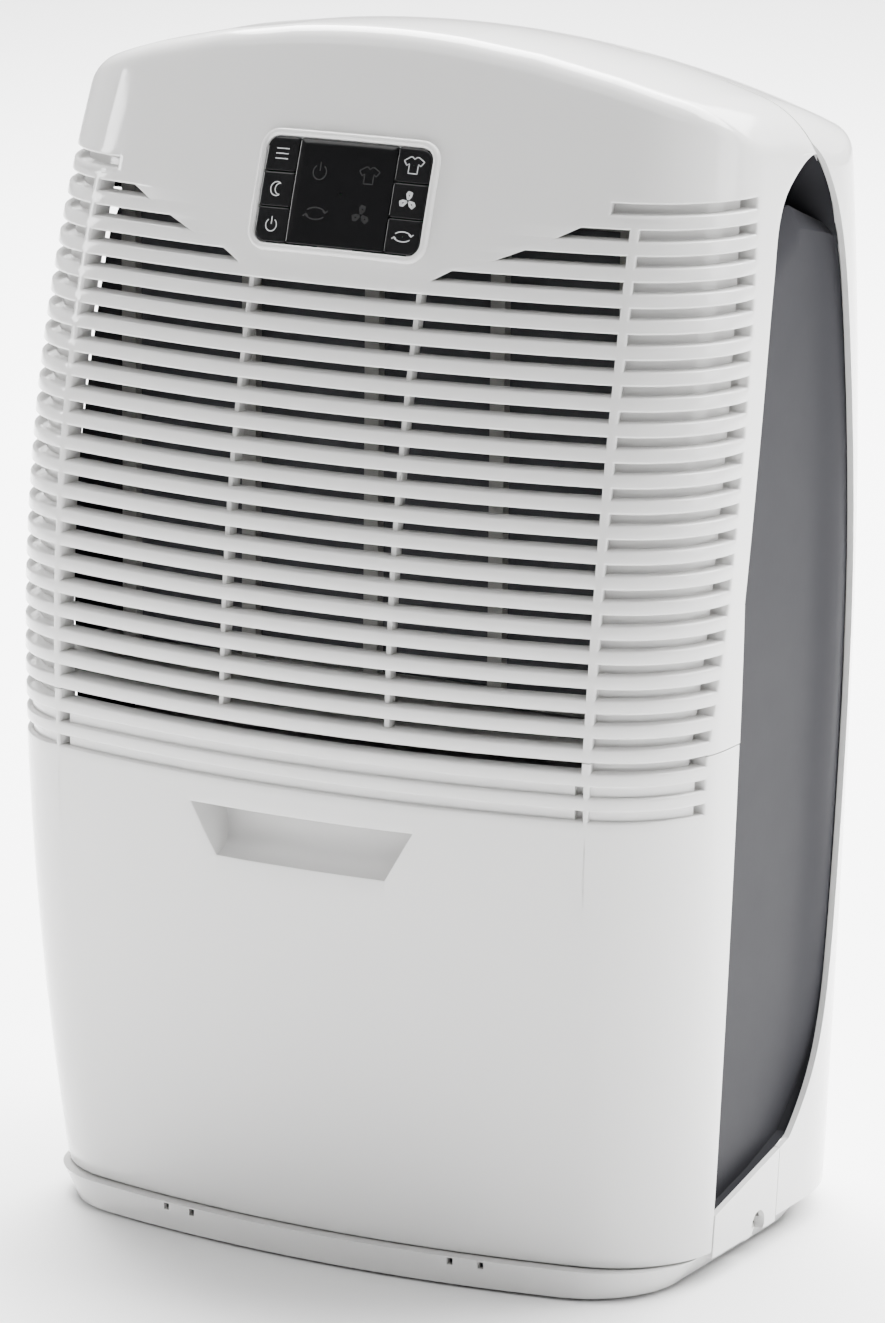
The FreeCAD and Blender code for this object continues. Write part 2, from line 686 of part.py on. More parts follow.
def make_tank(front):
    """Tank front with its finger recess, the bucket behind it, the lid and the float."""
    face = face_y(HANDLE_TOP_Z)
    back = face + HANDLE_DEPTH
    block = box(-HANDLE_TOP_X - 5, HANDLE_TOP_X + 5, -DEPTH, back + 2.5, HANDLE_FOOT_Z - 5, HANDLE_TOP_Z + 8)
    block = block.common(body(1.0))
    profile = Part.Wire([
        Part.makeLine(vec(-WIDTH, face - 12, HANDLE_TOP_Z), vec(-WIDTH, back, HANDLE_TOP_Z)),
        Part.Arc(vec(-WIDTH, back, HANDLE_TOP_Z), vec(-WIDTH, face + HANDLE_DEPTH * 0.66, HANDLE_FOOT_Z + 8),
                 vec(-WIDTH, face + 1.5, HANDLE_FOOT_Z)).toShape(),
        Part.makeLine(vec(-WIDTH, face + 1.5, HANDLE_FOOT_Z), vec(-WIDTH, face - 12, HANDLE_FOOT_Z)),
        Part.makeLine(vec(-WIDTH, face - 12, HANDLE_FOOT_Z), vec(-WIDTH, face - 12, HANDLE_TOP_Z)),
    ])
    scoop = Part.Face(profile).extrude(vec(2 * WIDTH, 0, 0))
    mouth = prism([vec(-HANDLE_FOOT_X, -DEPTH, HANDLE_FOOT_Z), vec(HANDLE_FOOT_X, -DEPTH, HANDLE_FOOT_Z),
                   vec(HANDLE_TOP_X, -DEPTH, HANDLE_TOP_Z), vec(-HANDLE_TOP_X, -DEPTH, HANDLE_TOP_Z)],
                  vec(0, DEPTH, 0))
    lip = body(1.0).common(
        box(-WIDTH, WIDTH, -DEPTH, OPENING_FRONT_Y - 4, BASE_TOP + SEAM_GAP, BUCKET_FLOOR_Z))
    front = front.fuse([block, lip]).cut(scoop.common(mouth))

    room = LOUVRE_DEPTH + GAP
    outside = body(room).common(box(-WIDTH, WIDTH, -DEPTH, TANK_DEPTH_Y, BUCKET_FLOOR_Z, BUCKET_TOP))
    hollow = body(room + BUCKET_WALL).common(
        box(-WIDTH, WIDTH, -DEPTH, TANK_DEPTH_Y - BUCKET_WALL, BUCKET_FLOOR_Z + BUCKET_WALL, BUCKET_TOP + 1))
    bucket = outside.cut(hollow)
    lid = body(room).common(box(-WIDTH, WIDTH, -DEPTH, TANK_DEPTH_Y, BUCKET_TOP, BUCKET_TOP + LID_T))
    drip = drip_place()
    lid = lid.cut(Part.makeCylinder(LID_HOLE_R, 20, vec(drip[0], drip[1], BUCKET_TOP - 10)))

    px, py, pz = FLOAT_PIVOT
    eye = tube(PIN_R + 2.2, vec(px - 5, py, pz), vec(px + 5, py, pz))
    arm = box(px - 3, px + 3, py - FLOAT_REACH, py, pz - 2, pz + 2)
    sx, sy, sz = FLOAT_SIZE
    middle = py - FLOAT_REACH
    block = box(px - sx / 2, px + sx / 2, middle - sy / 2, middle + sy / 2, pz - sz + 1, pz + 1)
    block = block.makeFillet(3.0, block.Edges)
    tail = box(px - 3, px + 3, py, py + 15, pz - 2, pz + 2)
    float_body = fuse([eye, arm, tail, block])
    float_body = float_body.cut(tube(PIN_R + RUN_CLEAR, vec(px - 20, py, pz), vec(px + 20, py, pz)))
    magnet_hole = box(px - 2.5, px + 2.5, py + 11, py + 16, pz - 1.5, pz + 1.5)
    float_body = float_body.cut(magnet_hole)
    magnet = box(px - 2.5, px + 2.5, py + 11, py + 15, pz - 1.5, pz + 1.5)
    pin = tube(PIN_R, vec(px - 10, py, pz), vec(px + 10, py, pz))
    lugs = []
    for side in (-1, 1):
        x = px + side * 8
        lugs.append(box(x - 2, x + 2, py - 4, py + 4, pz - 5, BUCKET_TOP))
    lid = lid.fuse(lugs).cut(tube(PIN_R, vec(px - 30, py, pz), vec(px + 30, py, pz)))
    return {
        "tank_front": front,
        "tank_bucket": bucket,
        "tank_lid": lid,
        "tank_float": float_body,
        "float_magnet": magnet,
        "float_pin": pin,
    }


def make_side_panels():
    """Grey panels behind the side openings, each with a shelf and a back wall for the hand grip."""
    layer = body(SIDE_INSET).cut(body(SIDE_INSET + SIDE_WALL))
    leaf = side_opening(5.0, 3.0)
    leaf_small = side_opening(3.0, -3.5)
    top = HEIGHT - OPENING_BELOW_TOP
    reach = 0.2713 * DEPTH
    tent = [(-reach, top - 70.0), (0.0492 * DEPTH, top - 27.5), (reach, top - 59.0)]
    ridge = [vec(-WIDTH, y, z) for y, z in tent]
    above = prism(ridge + [vec(-WIDTH, reach, HEIGHT), vec(-WIDTH, -reach, HEIGHT)],
                  vec(2 * WIDTH, 0, 0))
    shelf = prism(ridge + [vec(-WIDTH, y, z - SIDE_WALL) for y, z in reversed(tent)],
                  vec(2 * WIDTH, 0, 0))
    lower = layer.common(leaf).cut(above)
    shelf = body(SIDE_INSET).cut(body(GRIP_DEPTH)).common(shelf).common(leaf_small)
    pocket = body(GRIP_DEPTH - SIDE_WALL).cut(body(GRIP_DEPTH)).common(above).common(leaf_small)
    whole = lower.fuse([shelf, pocket])
    left = whole.common(box(-WIDTH, 0, -DEPTH, DEPTH, 0, HEIGHT + 20))
    right = whole.common(box(0, WIDTH, -DEPTH, DEPTH, 0, HEIGHT + 20))
    return {"side_panel_left": left, "side_panel_right": right}


def drip_place():
    return 60.0, EVAPORATOR_Y + COIL_T / 2


def deck_z():
    return SPLIT_Z + SLOT_H / 2 + GAP + 2.0


def coil_foot():
    return deck_z() + DECK_T + COIL_FOOT


def coil_top():
    return HEIGHT - COIL_BELOW_TOP


def tube_rows():
    return 2 * int(round((coil_top() - coil_foot()) / TUBE_PAIR_H))


def fan_z():
    return (coil_foot() + coil_top()) / 2


def riser_x():
    return COIL_HALF_W + 12.0


def suction_x():
    return COIL_HALF_W + 28.0


def make_deck():
    """Deck over the tank bay, the wall behind the tank, and the drip tray with its spout."""
    z = deck_z()
    deck = body(LOUVRE_DEPTH + GAP).common(box(-WIDTH, WIDTH, -DEPTH, DEPTH, z, z + DECK_T))
    x, y = drip_place()
    deck = deck.cut(Part.makeCylinder(11.0, 20, vec(x, y, z - 5)))
    deck = deck.cut(box(riser_x() - 8, suction_x() + 8, COMPRESSOR_Y - 10, COMPRESSOR_Y + 10, z - 5, z + 10))
    wall = body(LOUVRE_DEPTH + GAP, BASE_TOP - 2).common(
        box(-WIDTH, WIDTH, BAY_WALL_Y, BAY_WALL_Y + BAY_WALL_T, BASE_TOP, z))
    half = base_outline(BASE_TOP)[0] - WALL - FLANGE_W - 2
    wall_foot = box(-half, half, BAY_WALL_Y, BAY_WALL_Y + BAY_WALL_T, GROUND_GAP + BASE_FLOOR, BASE_TOP)
    pad_x = WIDTH / 2 - FOOT_DRAW - BOSS_DEPTH - PAD_DEPTH - 3
    pad_top = BOSS_Z + BOSS_R + PAD_WALL + GAP
    wall = wall.fuse(wall_foot)
    wall = wall.cut([box(-WIDTH, -pad_x, -DEPTH, DEPTH, 0, pad_top),
                     box(pad_x, WIDTH, -DEPTH, DEPTH, 0, pad_top)])
    tray_y0 = EVAPORATOR_Y - 4
    tray_y1 = CONDENSER_Y + COIL_T + 2
    half = COIL_HALF_W + 2
    low = z + DECK_T
    tray = box(-half, half, tray_y0, tray_y1, low, low + 16)
    tray = tray.cut(box(-half + 2, half - 2, tray_y0 + 2, tray_y1 - 2, low + 2, low + 17))
    spout = Part.makeCylinder(10.5, DECK_T + 12, vec(x, y, z - 12))
    tray = tray.fuse(spout).cut(Part.makeCylinder(8.5, DECK_T + 20, vec(x, y, z - 14)))
    return {"deck_plate": deck, "bay_wall": wall, "drip_tray": tray}


def accumulator_top():
    return COMPRESSOR_FOOT_Z + COMPRESSOR_H - 40


def make_coil(y, name):
    """Finned block and the serpentine tube through it."""
    low = coil_foot()
    high = coil_top()
    step = (high - low) / tube_rows()
    levels = [low + step * (i + 0.5) for i in range(tube_rows())]
    middle = y + COIL_T / 2
    plate = box(0, FIN_T, y, y + COIL_T, low, high)
    for z in levels:
        plate = plate.cut(tube(TUBE_R + RUN_CLEAR, vec(-5, middle, z), vec(5, middle, z)))
    count = int((2 * COIL_HALF_W) / (FIN_PITCH * 1.5))
    fins = []
    for i in range(count):
        fin = plate.copy()
        fin.translate(vec(-COIL_HALF_W + i * 2 * COIL_HALF_W / count + 1, 0, 0))
        fins.append(fin)
    end = COIL_HALF_W + 3
    runs = []
    for i, z in enumerate(levels):
        runs.append(tube(TUBE_R, vec(-end, middle, z), vec(end, middle, z)))
        if i + 1 < len(levels):
            side = -1 if i % 2 == 0 else 1
            ring = Part.Face(Part.Wire(Part.makeCircle(TUBE_R, vec(side * end, middle, z), vec(1, 0, 0))))
            bend = ring.revolve(vec(side * end, middle, z + step / 2), vec(0, -side, 0), 180)
            runs.append(bend)
    return {name + "_fins": Part.Compound(fins), name + "_tube": fuse(runs)}


def bent_tube(points, radius, bend):
    """Tube through the points, straight runs joined by arcs."""
    edges = []
    start = points[0]
    for i in range(1, len(points) - 1):
        before = points[i - 1].sub(points[i]).normalize()
        after = points[i + 1].sub(points[i]).normalize()
        half = before.getAngle(after) / 2
        cut = bend / math.tan(half)
        a = points[i].add(before * cut)
        b = points[i].add(after * cut)
        centre = points[i].add((before.add(after)).normalize() * (bend / math.sin(half)))
        mid = centre.add(points[i].sub(centre).normalize() * bend)
        if start.sub(a).Length > 0.01:
            edges.append(Part.makeLine(start, a))
        edges.append(Part.Arc(a, mid, b).toShape())
        start = b
    edges.append(Part.makeLine(start, points[-1]))
    path = Part.Wire(edges)
    profile = Part.Wire(Part.makeCircle(radius, points[0], points[1].sub(points[0])))
    return path.makePipeShell([profile], True, True)


def make_pipes():
    low = coil_foot()
    step = (coil_top() - low) / tube_rows()
    top = coil_top() - step / 2
    foot = low + step / 2
    cond = CONDENSER_Y + COIL_T / 2
    evap = EVAPORATOR_Y + COIL_T / 2
    between = (cond + evap) / 2
    x0 = COIL_HALF_W + 3
    x1 = riser_x()
    x2 = suction_x()
    head = COMPRESSOR_FOOT_Z + COMPRESSOR_H
    discharge = bent_tube([
        vec(COMPRESSOR_X + 20, COMPRESSOR_Y, head), vec(COMPRESSOR_X + 20, COMPRESSOR_Y, head + 22),
        vec(x1, COMPRESSOR_Y, head + 22), vec(x1, COMPRESSOR_Y, top), vec(x1, cond, top), vec(x0, cond, top),
    ], TUBE_R, 8.0)
    turn = top - 1.8 * step
    suction = bent_tube([
        vec(x0, evap, top), vec(x2, evap, top), vec(x2, evap, turn), vec(x2, COMPRESSOR_Y, turn),
        vec(x2, COMPRESSOR_Y, accumulator_top()),
    ], TUBE_R, 9.0)
    drier_low = foot + 8
    drier_high = drier_low + 44
    xd = x0 + 14
    drier = Part.makeCylinder(8.0, drier_high - drier_low, vec(xd, between, drier_low))
    drier = drier.makeFillet(4.0, [e for e in drier.Edges if abs(e.Length - 2 * math.pi * 8.0) < 0.1])
    liquid = bent_tube([
        vec(x0, cond, foot), vec(xd, cond, foot), vec(xd, between, foot), vec(xd, between, drier_low),
    ], 3.0, 6.0)
    loop = drier_high + 10
    xc = xd + 12
    capillary = bent_tube([
        vec(xd, between, drier_high), vec(xd, between, loop), vec(xc, between, loop), vec(xc, between, foot),
        vec(xc, evap, foot), vec(x0, evap, foot),
    ], 1.4, 5.0)
    return {
        "discharge_pipe": discharge,
        "suction_pipe": suction,
        "filter_drier": drier,
        "liquid_line": liquid,
        "capillary_tube": capillary,
    }


def make_fan():
    """Shroud, impeller, motor with its bearings, and the bracket that carries it."""
    z = fan_z()
    hole = FAN_R + FAN_TIP_GAP
    low = deck_z() + DECK_T
    half = COIL_HALF_W + 6
    shroud = box(-half, half, SHROUD_Y, SHROUD_Y + SHROUD_T, low, coil_top() + 12)
    axis0 = vec(0, SHROUD_Y, z)
    ring_end = FAN_Y + FAN_DEPTH + 4
    shroud = shroud.fuse(tube(hole + SHROUD_T, axis0, vec(0, ring_end, z)))
    shroud = shroud.cut(tube(hole, vec(0, -50, z), vec(0, 150, z)))

    hub = tube(HUB_R, vec(0, FAN_Y, z), vec(0, FAN_Y + FAN_DEPTH, z))
    hub = hub.cut(tube(HUB_R - HUB_WALL, vec(0, FAN_Y + HUB_WALL, z), vec(0, FAN_Y + FAN_DEPTH, z)))
    hub = hub.fuse(tube(SHAFT_R + HUB_BOSS_WALL, vec(0, FAN_Y, z), vec(0, FAN_Y + FAN_DEPTH, z)))
    blades = []
    for k in range(FAN_BLADES):
        sections = []
        for radius, (chord, pitch) in zip((HUB_R - HUB_WALL / 2, (HUB_R + FAN_R) / 2, FAN_R), BLADE_SECTIONS):
            lean = math.radians(pitch)
            along = vec(math.cos(lean), math.sin(lean), 0) * (chord / 2)
            across = vec(-math.sin(lean), math.cos(lean), 0) * (BLADE_T / 2)
            centre = vec(0, FAN_Y + FAN_DEPTH / 2, radius)
            corners = [centre.sub(along).sub(across), centre.add(along).sub(across),
                       centre.add(along).add(across), centre.sub(along).add(across)]
            sections.append(Part.makePolygon(corners + [corners[0]]))
        blade = Part.makeLoft(sections, True, False)
        blade.rotate(vec(0, 0, 0), vec(0, 1, 0), 360.0 * k / FAN_BLADES)
        blade.translate(vec(0, 0, z))
        blades.append(blade)
    tip = tube(FAN_R, vec(0, FAN_Y - 1, z), vec(0, FAN_Y + FAN_DEPTH + 1, z))
    blades = [b.common(tip) for b in blades]
    bore = tube(SHAFT_R, vec(0, 0, z), vec(0, 120, z))
    impeller = hub.fuse(blades).cut(bore)

    bracket_y = ring_end
    motor_y = bracket_y + BRACKET_T
    motor_end = motor_y + MOTOR_LEN
    plate = tube(MOTOR_R + BRACKET_RIM, vec(0, bracket_y, z), vec(0, motor_y, z))
    arms = []
    for k in range(4):
        arm = box(-BRACKET_ARM_W / 2, BRACKET_ARM_W / 2, bracket_y, motor_y, 0, hole + 2.0)
        arm.rotate(vec(0, 0, 0), vec(0, 1, 0), 45 + 90 * k)
        arm.translate(vec(0, 0, z))
        arms.append(arm)
    bracket = plate.fuse(arms).cut(tube(SHAFT_R + 3, vec(0, 0, z), vec(0, 120, z)))
    screw_spots = []
    for k in range(4):
        turn = math.radians(45 + 90 * k)
        screw_spots.append((MOTOR_SCREW_CIRCLE * math.cos(turn), MOTOR_SCREW_CIRCLE * math.sin(turn)))
    housing = tube(MOTOR_R, vec(0, motor_y, z), vec(0, motor_end, z))
    housing = housing.cut(tube(MOTOR_R - MOTOR_WALL, vec(0, motor_y + MOTOR_CAP_T, z),
                               vec(0, motor_end - MOTOR_CAP_T, z)))
    housing = housing.cut(tube(SHAFT_R + 2, vec(0, motor_y - 1, z), vec(0, motor_end - 3, z)))
    bearings = []
    for start in (motor_y + 1, motor_end - 3 - BEARING_W):
        housing = housing.cut(tube(BEARING_R, vec(0, start, z), vec(0, start + BEARING_W, z)))
        ring = tube(BEARING_R, vec(0, start, z), vec(0, start + BEARING_W, z))
        bearings.append(ring.cut(tube(SHAFT_R + RUN_CLEAR, vec(0, 0, z), vec(0, 150, z))))
    shaft = tube(SHAFT_R, vec(0, FAN_Y - 5, z), vec(0, motor_end - 3.5, z))
    rotor_y0 = motor_y + ROTOR_END_ROOM
    rotor_y1 = motor_end - ROTOR_END_ROOM
    rotor = tube(ROTOR_R, vec(0, rotor_y0, z), vec(0, rotor_y1, z)).cut(bore)
    stator = tube(MOTOR_R - MOTOR_WALL, vec(0, rotor_y0, z), vec(0, rotor_y1, z))
    stator = stator.cut(tube(ROTOR_R + AIR_GAP, vec(0, 0, z), vec(0, 150, z)))
    clip = tube(SHAFT_R + 4, vec(0, FAN_Y - 3, z), vec(0, FAN_Y, z)).cut(bore)
    screws = []
    for sx, sz in screw_spots:
        head = tube(2 * MOTOR_SCREW_R, vec(sx, bracket_y - 2, z + sz), vec(sx, bracket_y, z + sz))
        shank = tube(MOTOR_SCREW_R, vec(sx, bracket_y, z + sz), vec(sx, motor_y + 6, z + sz))
        screws.append(head.fuse(shank))
        bracket = bracket.cut(shank)
        housing = housing.cut(shank)
    return {
        "fan_shroud": shroud,
        "fan_impeller": impeller,
        "impeller_clip": clip,
        "motor_shaft": shaft,
        "motor_rotor": rotor,
        "motor_stator": stator,
        "motor_housing": housing,
        "motor_bearings": Part.Compound(bearings),
        "motor_bracket": bracket,
        "motor_screws": Part.Compound(screws),
    }


def make_compressor():
    foot = COMPRESSOR_FOOT_Z
    x, y = COMPRESSOR_X, COMPRESSOR_Y
    can_low = foot + GROMMET_H + 4
    can_high = foot + COMPRESSOR_H
    can = Part.makeCylinder(COMPRESSOR_R, can_high - can_low, vec(x, y, can_low))
    rims = [e for e in can.Edges if e.Length > COMPRESSOR_R and abs(e.valueAt(0).z - e.valueAt(1).z) < 1e-6]
    can = can.makeFillet(CAN_ROUND, rims)
    lug_z = foot + GROMMET_H
    lugs = []
    for px, py in stud_places():
        lugs.append(Part.makeCylinder(GROMMET_R, LUG_T, vec(px, py, lug_z)))
        reach = vec(px - x, py - y, 0)
        arm = box(0, reach.Length, -GROMMET_R, GROMMET_R, lug_z, lug_z + LUG_T)
        arm.rotate(vec(0, 0, 0), vec(0, 0, 1), math.degrees(math.atan2(reach.y, reach.x)))
        arm.translate(vec(x, y, 0))
        lugs.append(arm)
    collar = Part.makeCylinder(COMPRESSOR_R - CAN_ROUND + 1, 18, vec(x, y, lug_z))
    can = can.fuse(lugs + [collar])
    grommets = []
    studs = []
    for px, py in stud_places():
        can = can.cut(Part.makeCylinder(STUD_R + 1, 10, vec(px, py, lug_z - 3)))
        ring = Part.makeCylinder(GROMMET_R, GROMMET_H, vec(px, py, foot))
        grommets.append(ring.cut(Part.makeCylinder(STUD_R + 0.5, 30, vec(px, py, foot - 5))))
        stud = Part.makeCylinder(STUD_R, GROMMET_H + 24, vec(px, py, foot - 12))
        corners = [math.radians(60 * i) for i in range(6)]
        nut = prism([vec(px + NUT_R * math.cos(a), py + NUT_R * math.sin(a), lug_z + LUG_T) for a in corners],
                    vec(0, 0, NUT_H))
        studs.append(stud.fuse(nut))
    cover_x = x - COMPRESSOR_R - TERMINAL_PROUD
    cover = box(cover_x, x - COMPRESSOR_R + 14, y - TERMINAL_W / 2, y + TERMINAL_W / 2,
                can_high - 22 - TERMINAL_H, can_high - 22)
    proud = [e for e in cover.Edges if max(e.valueAt(0).x, e.valueAt(e.Length).x) < cover_x + 0.1]
    cover = cover.makeFillet(3.0, proud)
    cover = cover.cut(Part.makeCylinder(COMPRESSOR_R, COMPRESSOR_H, vec(x, y, foot)))
    acc_foot = vec(suction_x(), y, accumulator_top() - ACCUMULATOR_H)
    acc = Part.makeCylinder(ACCUMULATOR_R, ACCUMULATOR_H, acc_foot)
    acc = acc.makeFillet(6.0, [e for e in acc.Edges if abs(e.Length - 2 * math.pi * ACCUMULATOR_R) < 0.1])
    capacitor_foot = vec(-0.27 * WIDTH, 0.3256 * DEPTH, GROUND_GAP + BASE_FLOOR)
    capacitor = Part.makeCylinder(CAPACITOR_R, CAPACITOR_H, capacitor_foot)
    girth = 2 * math.pi * CAPACITOR_R
    capacitor = capacitor.makeFillet(2.5, [e for e in capacitor.Edges if abs(e.Length - girth) < 0.1])
    return {
        "compressor": can,
        "compressor_grommets": Part.Compound(grommets),
        "compressor_studs": Part.Compound(studs),
        "terminal_cover": cover,
        "suction_accumulator": acc,
        "run_capacitor": capacitor,
    }


def make_electrics():
    """Electrics box behind the bay wall with its board, and the two small sensors."""
    x0 = -WIDTH / 2 + 25.0
    x1 = COMPRESSOR_X - COMPRESSOR_R - 36.0
    y0 = BAY_WALL_Y + 10.0
    y1 = y0 + ELECTRICS_DEPTH
    z0 = ELECTRICS_FOOT_Z
    z1 = SPLIT_Z - 39.7
    wall = ELECTRICS_WALL
    tray = box(x0, x1, y0, y1, z0, z1)
    tray = tray.cut(box(x0 + wall, x1 - wall, y0 + wall, y1 + 1, z0 + wall, z1 - wall))
    cover = box(x0, x1, y1 + 0.3, y1 + 0.3 + wall, z0, z1)
    front = y0 + 9.6
    board = box(x0 + 6, x1 - 6, y0 + 8, front, z0 + 6, z1 - 6)
    blocks = []
    unit = (x1 - x0) / 118
    # left, width, depth, foot and height of each block on the board
    for left, wide, deep, low, tall in ((16, 28, 18.4, 20, 26), (60, 16, 14.4, 24, 20), (84, 16, 14.4, 24, 20),
                                        (20, 76, 7.4, 96, 10)):
        start = x0 + left * unit
        blocks.append(box(start, start + wide * unit, front, front + deep, z0 + low, z0 + low + tall))
    for across, radius, long in ((34, 7.0, 20.4), (62, 5.0, 14.4)):
        start = vec(x0 + across * unit, front, z0 + 70)
        blocks.append(tube(radius, start, start.add(vec(0, long, 0))))
    pegs = [tube(3.0, vec(x, y0 + wall, z), vec(x, y0 + 8, z))
            for x in (x0 + 12, x1 - 12) for z in (z0 + 12, z1 - 12)]
    tray = tray.fuse(pegs)
    sensor = box(-COIL_HALF_W - 20, -COIL_HALF_W - 6, FILTER_Y + 14, FILTER_Y + 18,
                 fan_z() - 12, fan_z() + 12)
    sensor = sensor.fuse(box(-COIL_HALF_W - 16, -COIL_HALF_W - 10, FILTER_Y + 11, FILTER_Y + 14,
                             fan_z() - 4, fan_z() + 4))
    px, py, pz = FLOAT_PIVOT
    reed = box(px - 9, px + 9, BAY_WALL_Y - 3.2, BAY_WALL_Y, pz - 6, pz + 6)
    return {
        "electrics_tray": tray,
        "electrics_cover": cover,
        "power_board": board.fuse(blocks),
        "humidity_sensor": sensor,
        "reed_switch": reed,
    }


def make_filter():
    low = deck_z() + DECK_T + 1
    high = coil_top() + 8
    half = COIL_HALF_W + 8
    frame = box(-half, half, FILTER_Y - FILTER_T, FILTER_Y, low, high)
    pitch = (2 * half - FILTER_BAR) / FILTER_COLUMNS
    for i in range(FILTER_COLUMNS):
        x = -half + FILTER_BAR + i * pitch
        frame = frame.cut(box(x, x + pitch - FILTER_BAR, FILTER_Y - 20, FILTER_Y + 20,
                              low + FILTER_BAR, high - FILTER_BAR))
    mesh = box(-half + 2, half - 2, FILTER_Y, FILTER_Y + 0.8, low + 2, high - 2)
    return {"filter_frame": frame, "filter_mesh": mesh}


def make_rear(skin, rear):
    """Outlet grille, screws and cable gland of the rear cover."""
    z = fan_z()
    width = GRILLE_W
    height = coil_top() - coil_foot() + 8
    face = Part.Face(rounded_rectangle(width, height, GRILLE_CORNER_R))
    face.rotate(vec(0, 0, 0), vec(1, 0, 0), 90)
    face.translate(vec(0, 0, z))
    bar = face.extrude(vec(0, DEPTH, 0))
    hole_face = Part.Face(rounded_rectangle(width + 2 * GAP, height + 2 * GAP, GRILLE_CORNER_R + GAP))
    hole_face.rotate(vec(0, 0, 0), vec(1, 0, 0), 90)
    hole_face.translate(vec(0, 0, z))
    rear = rear.cut(hole_face.extrude(vec(0, DEPTH, 0)))
    grille = skin.common(bar)
    slots = []
    pitch = GRILLE_PITCH
    rows = int((height - 2 * GRILLE_BORDER) / pitch)
    for i in range(rows):
        level = z + (i - (rows - 1) / 2) * pitch
        for side in (-1, 1):
            x0 = side * 4
            x1 = side * (width / 2 - GRILLE_BORDER)
            slots.append(box(min(x0, x1), max(x0, x1), 0, DEPTH,
                             level - GRILLE_SLOT_H / 2, level + GRILLE_SLOT_H / 2))
    grille = grille.cut(fuse(slots))

    gland_x = 0.13 * WIDTH
    gland_z = GLAND_Z
    gland_y = DEPTH / 2 - gland_x ** 2 / (2 * REAR_CROWN_R)
    rear = rear.cut(tube(GLAND_R, vec(gland_x, 60, gland_z), vec(gland_x, DEPTH, gland_z)))
    gland = tube(GLAND_R, vec(gland_x, gland_y - 12, gland_z), vec(gland_x, gland_y - 0.6, gland_z))
    flange = tube(GLAND_R + 3.0, vec(gland_x, gland_y - 8.0, gland_z), vec(gland_x, gland_y - 4.5, gland_z))
    gland = gland.fuse(flange).cut(tube(CORD_HOLE_R, vec(gland_x, 60, gland_z), vec(gland_x, DEPTH, gland_z)))

    screws = []
    for sx in (-0.2456 * WIDTH, 0.2456 * WIDTH):
        for sz in (70.0, coil_foot() - 46, coil_top() + 18):
            surface = DEPTH / 2 - sx ** 2 / (2 * REAR_CROWN_R) - 0.3
            seat = surface - 3.2
            boss = tube(7.0, vec(sx, seat - 12, sz), vec(sx, surface - 1.5, sz))
            rear = rear.fuse(boss)
            rear = rear.cut(tube(SCREW_HEAD_R + 0.3, vec(sx, seat, sz), vec(sx, DEPTH, sz)))
            rear = rear.cut(tube(SCREW_SHANK_R, vec(sx, seat - 10, sz), vec(sx, seat, sz)))
            head = tube(SCREW_HEAD_R, vec(sx, seat, sz), vec(sx, seat + 2.2, sz))
            drive = fuse([box(sx - 0.5, sx + 0.5, seat + 1, seat + 4, sz - 2.6, sz + 2.6),
                          box(sx - 2.6, sx + 2.6, seat + 1, seat + 4, sz - 0.5, sz + 0.5)])
            shank = tube(SCREW_SHANK_R, vec(sx, seat - 10, sz), vec(sx, seat, sz))
            screws.append(head.fuse(shank).cut(drive))
    return rear, {"outlet_grille": grille, "cable_gland": gland, "cover_screws": Part.Compound(screws)}


def main():
    nodes = {}
    outer, skin, front, rear, tank = make_covers()
    rear, rear_nodes = make_rear(skin, rear)
    nodes["front_cover"] = front
    nodes["rear_cover"] = rear
    nodes.update(rear_nodes)
    nodes.update(make_tank(tank))
    nodes.update(make_base(skin))
    nodes.update(make_panel())
    nodes.update(make_side_panels())
    nodes.update(make_deck())
    nodes.update(make_coil(EVAPORATOR_Y, "evaporator"))
    nodes.update(make_coil(CONDENSER_Y, "condenser"))
    nodes.update(make_pipes())
    nodes.update(make_fan())
    nodes.update(make_compressor())
    nodes.update(make_electrics())
    nodes.update(make_filter())
    os.makedirs("parts", exist_ok=True)
    for name, shape in nodes.items():
        shape.exportStep("parts/" + name + ".step")
        print(name, len(shape.Solids), round(shape.Volume / 1000.0, 2))


main()
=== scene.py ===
"""Looks of the portable dehumidifier: skins, grips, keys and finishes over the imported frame."""

import json
import logging
import math
from dataclasses import dataclass, field
from enum import Enum
from typing import Callable, Iterable, Optional, Sequence, Union

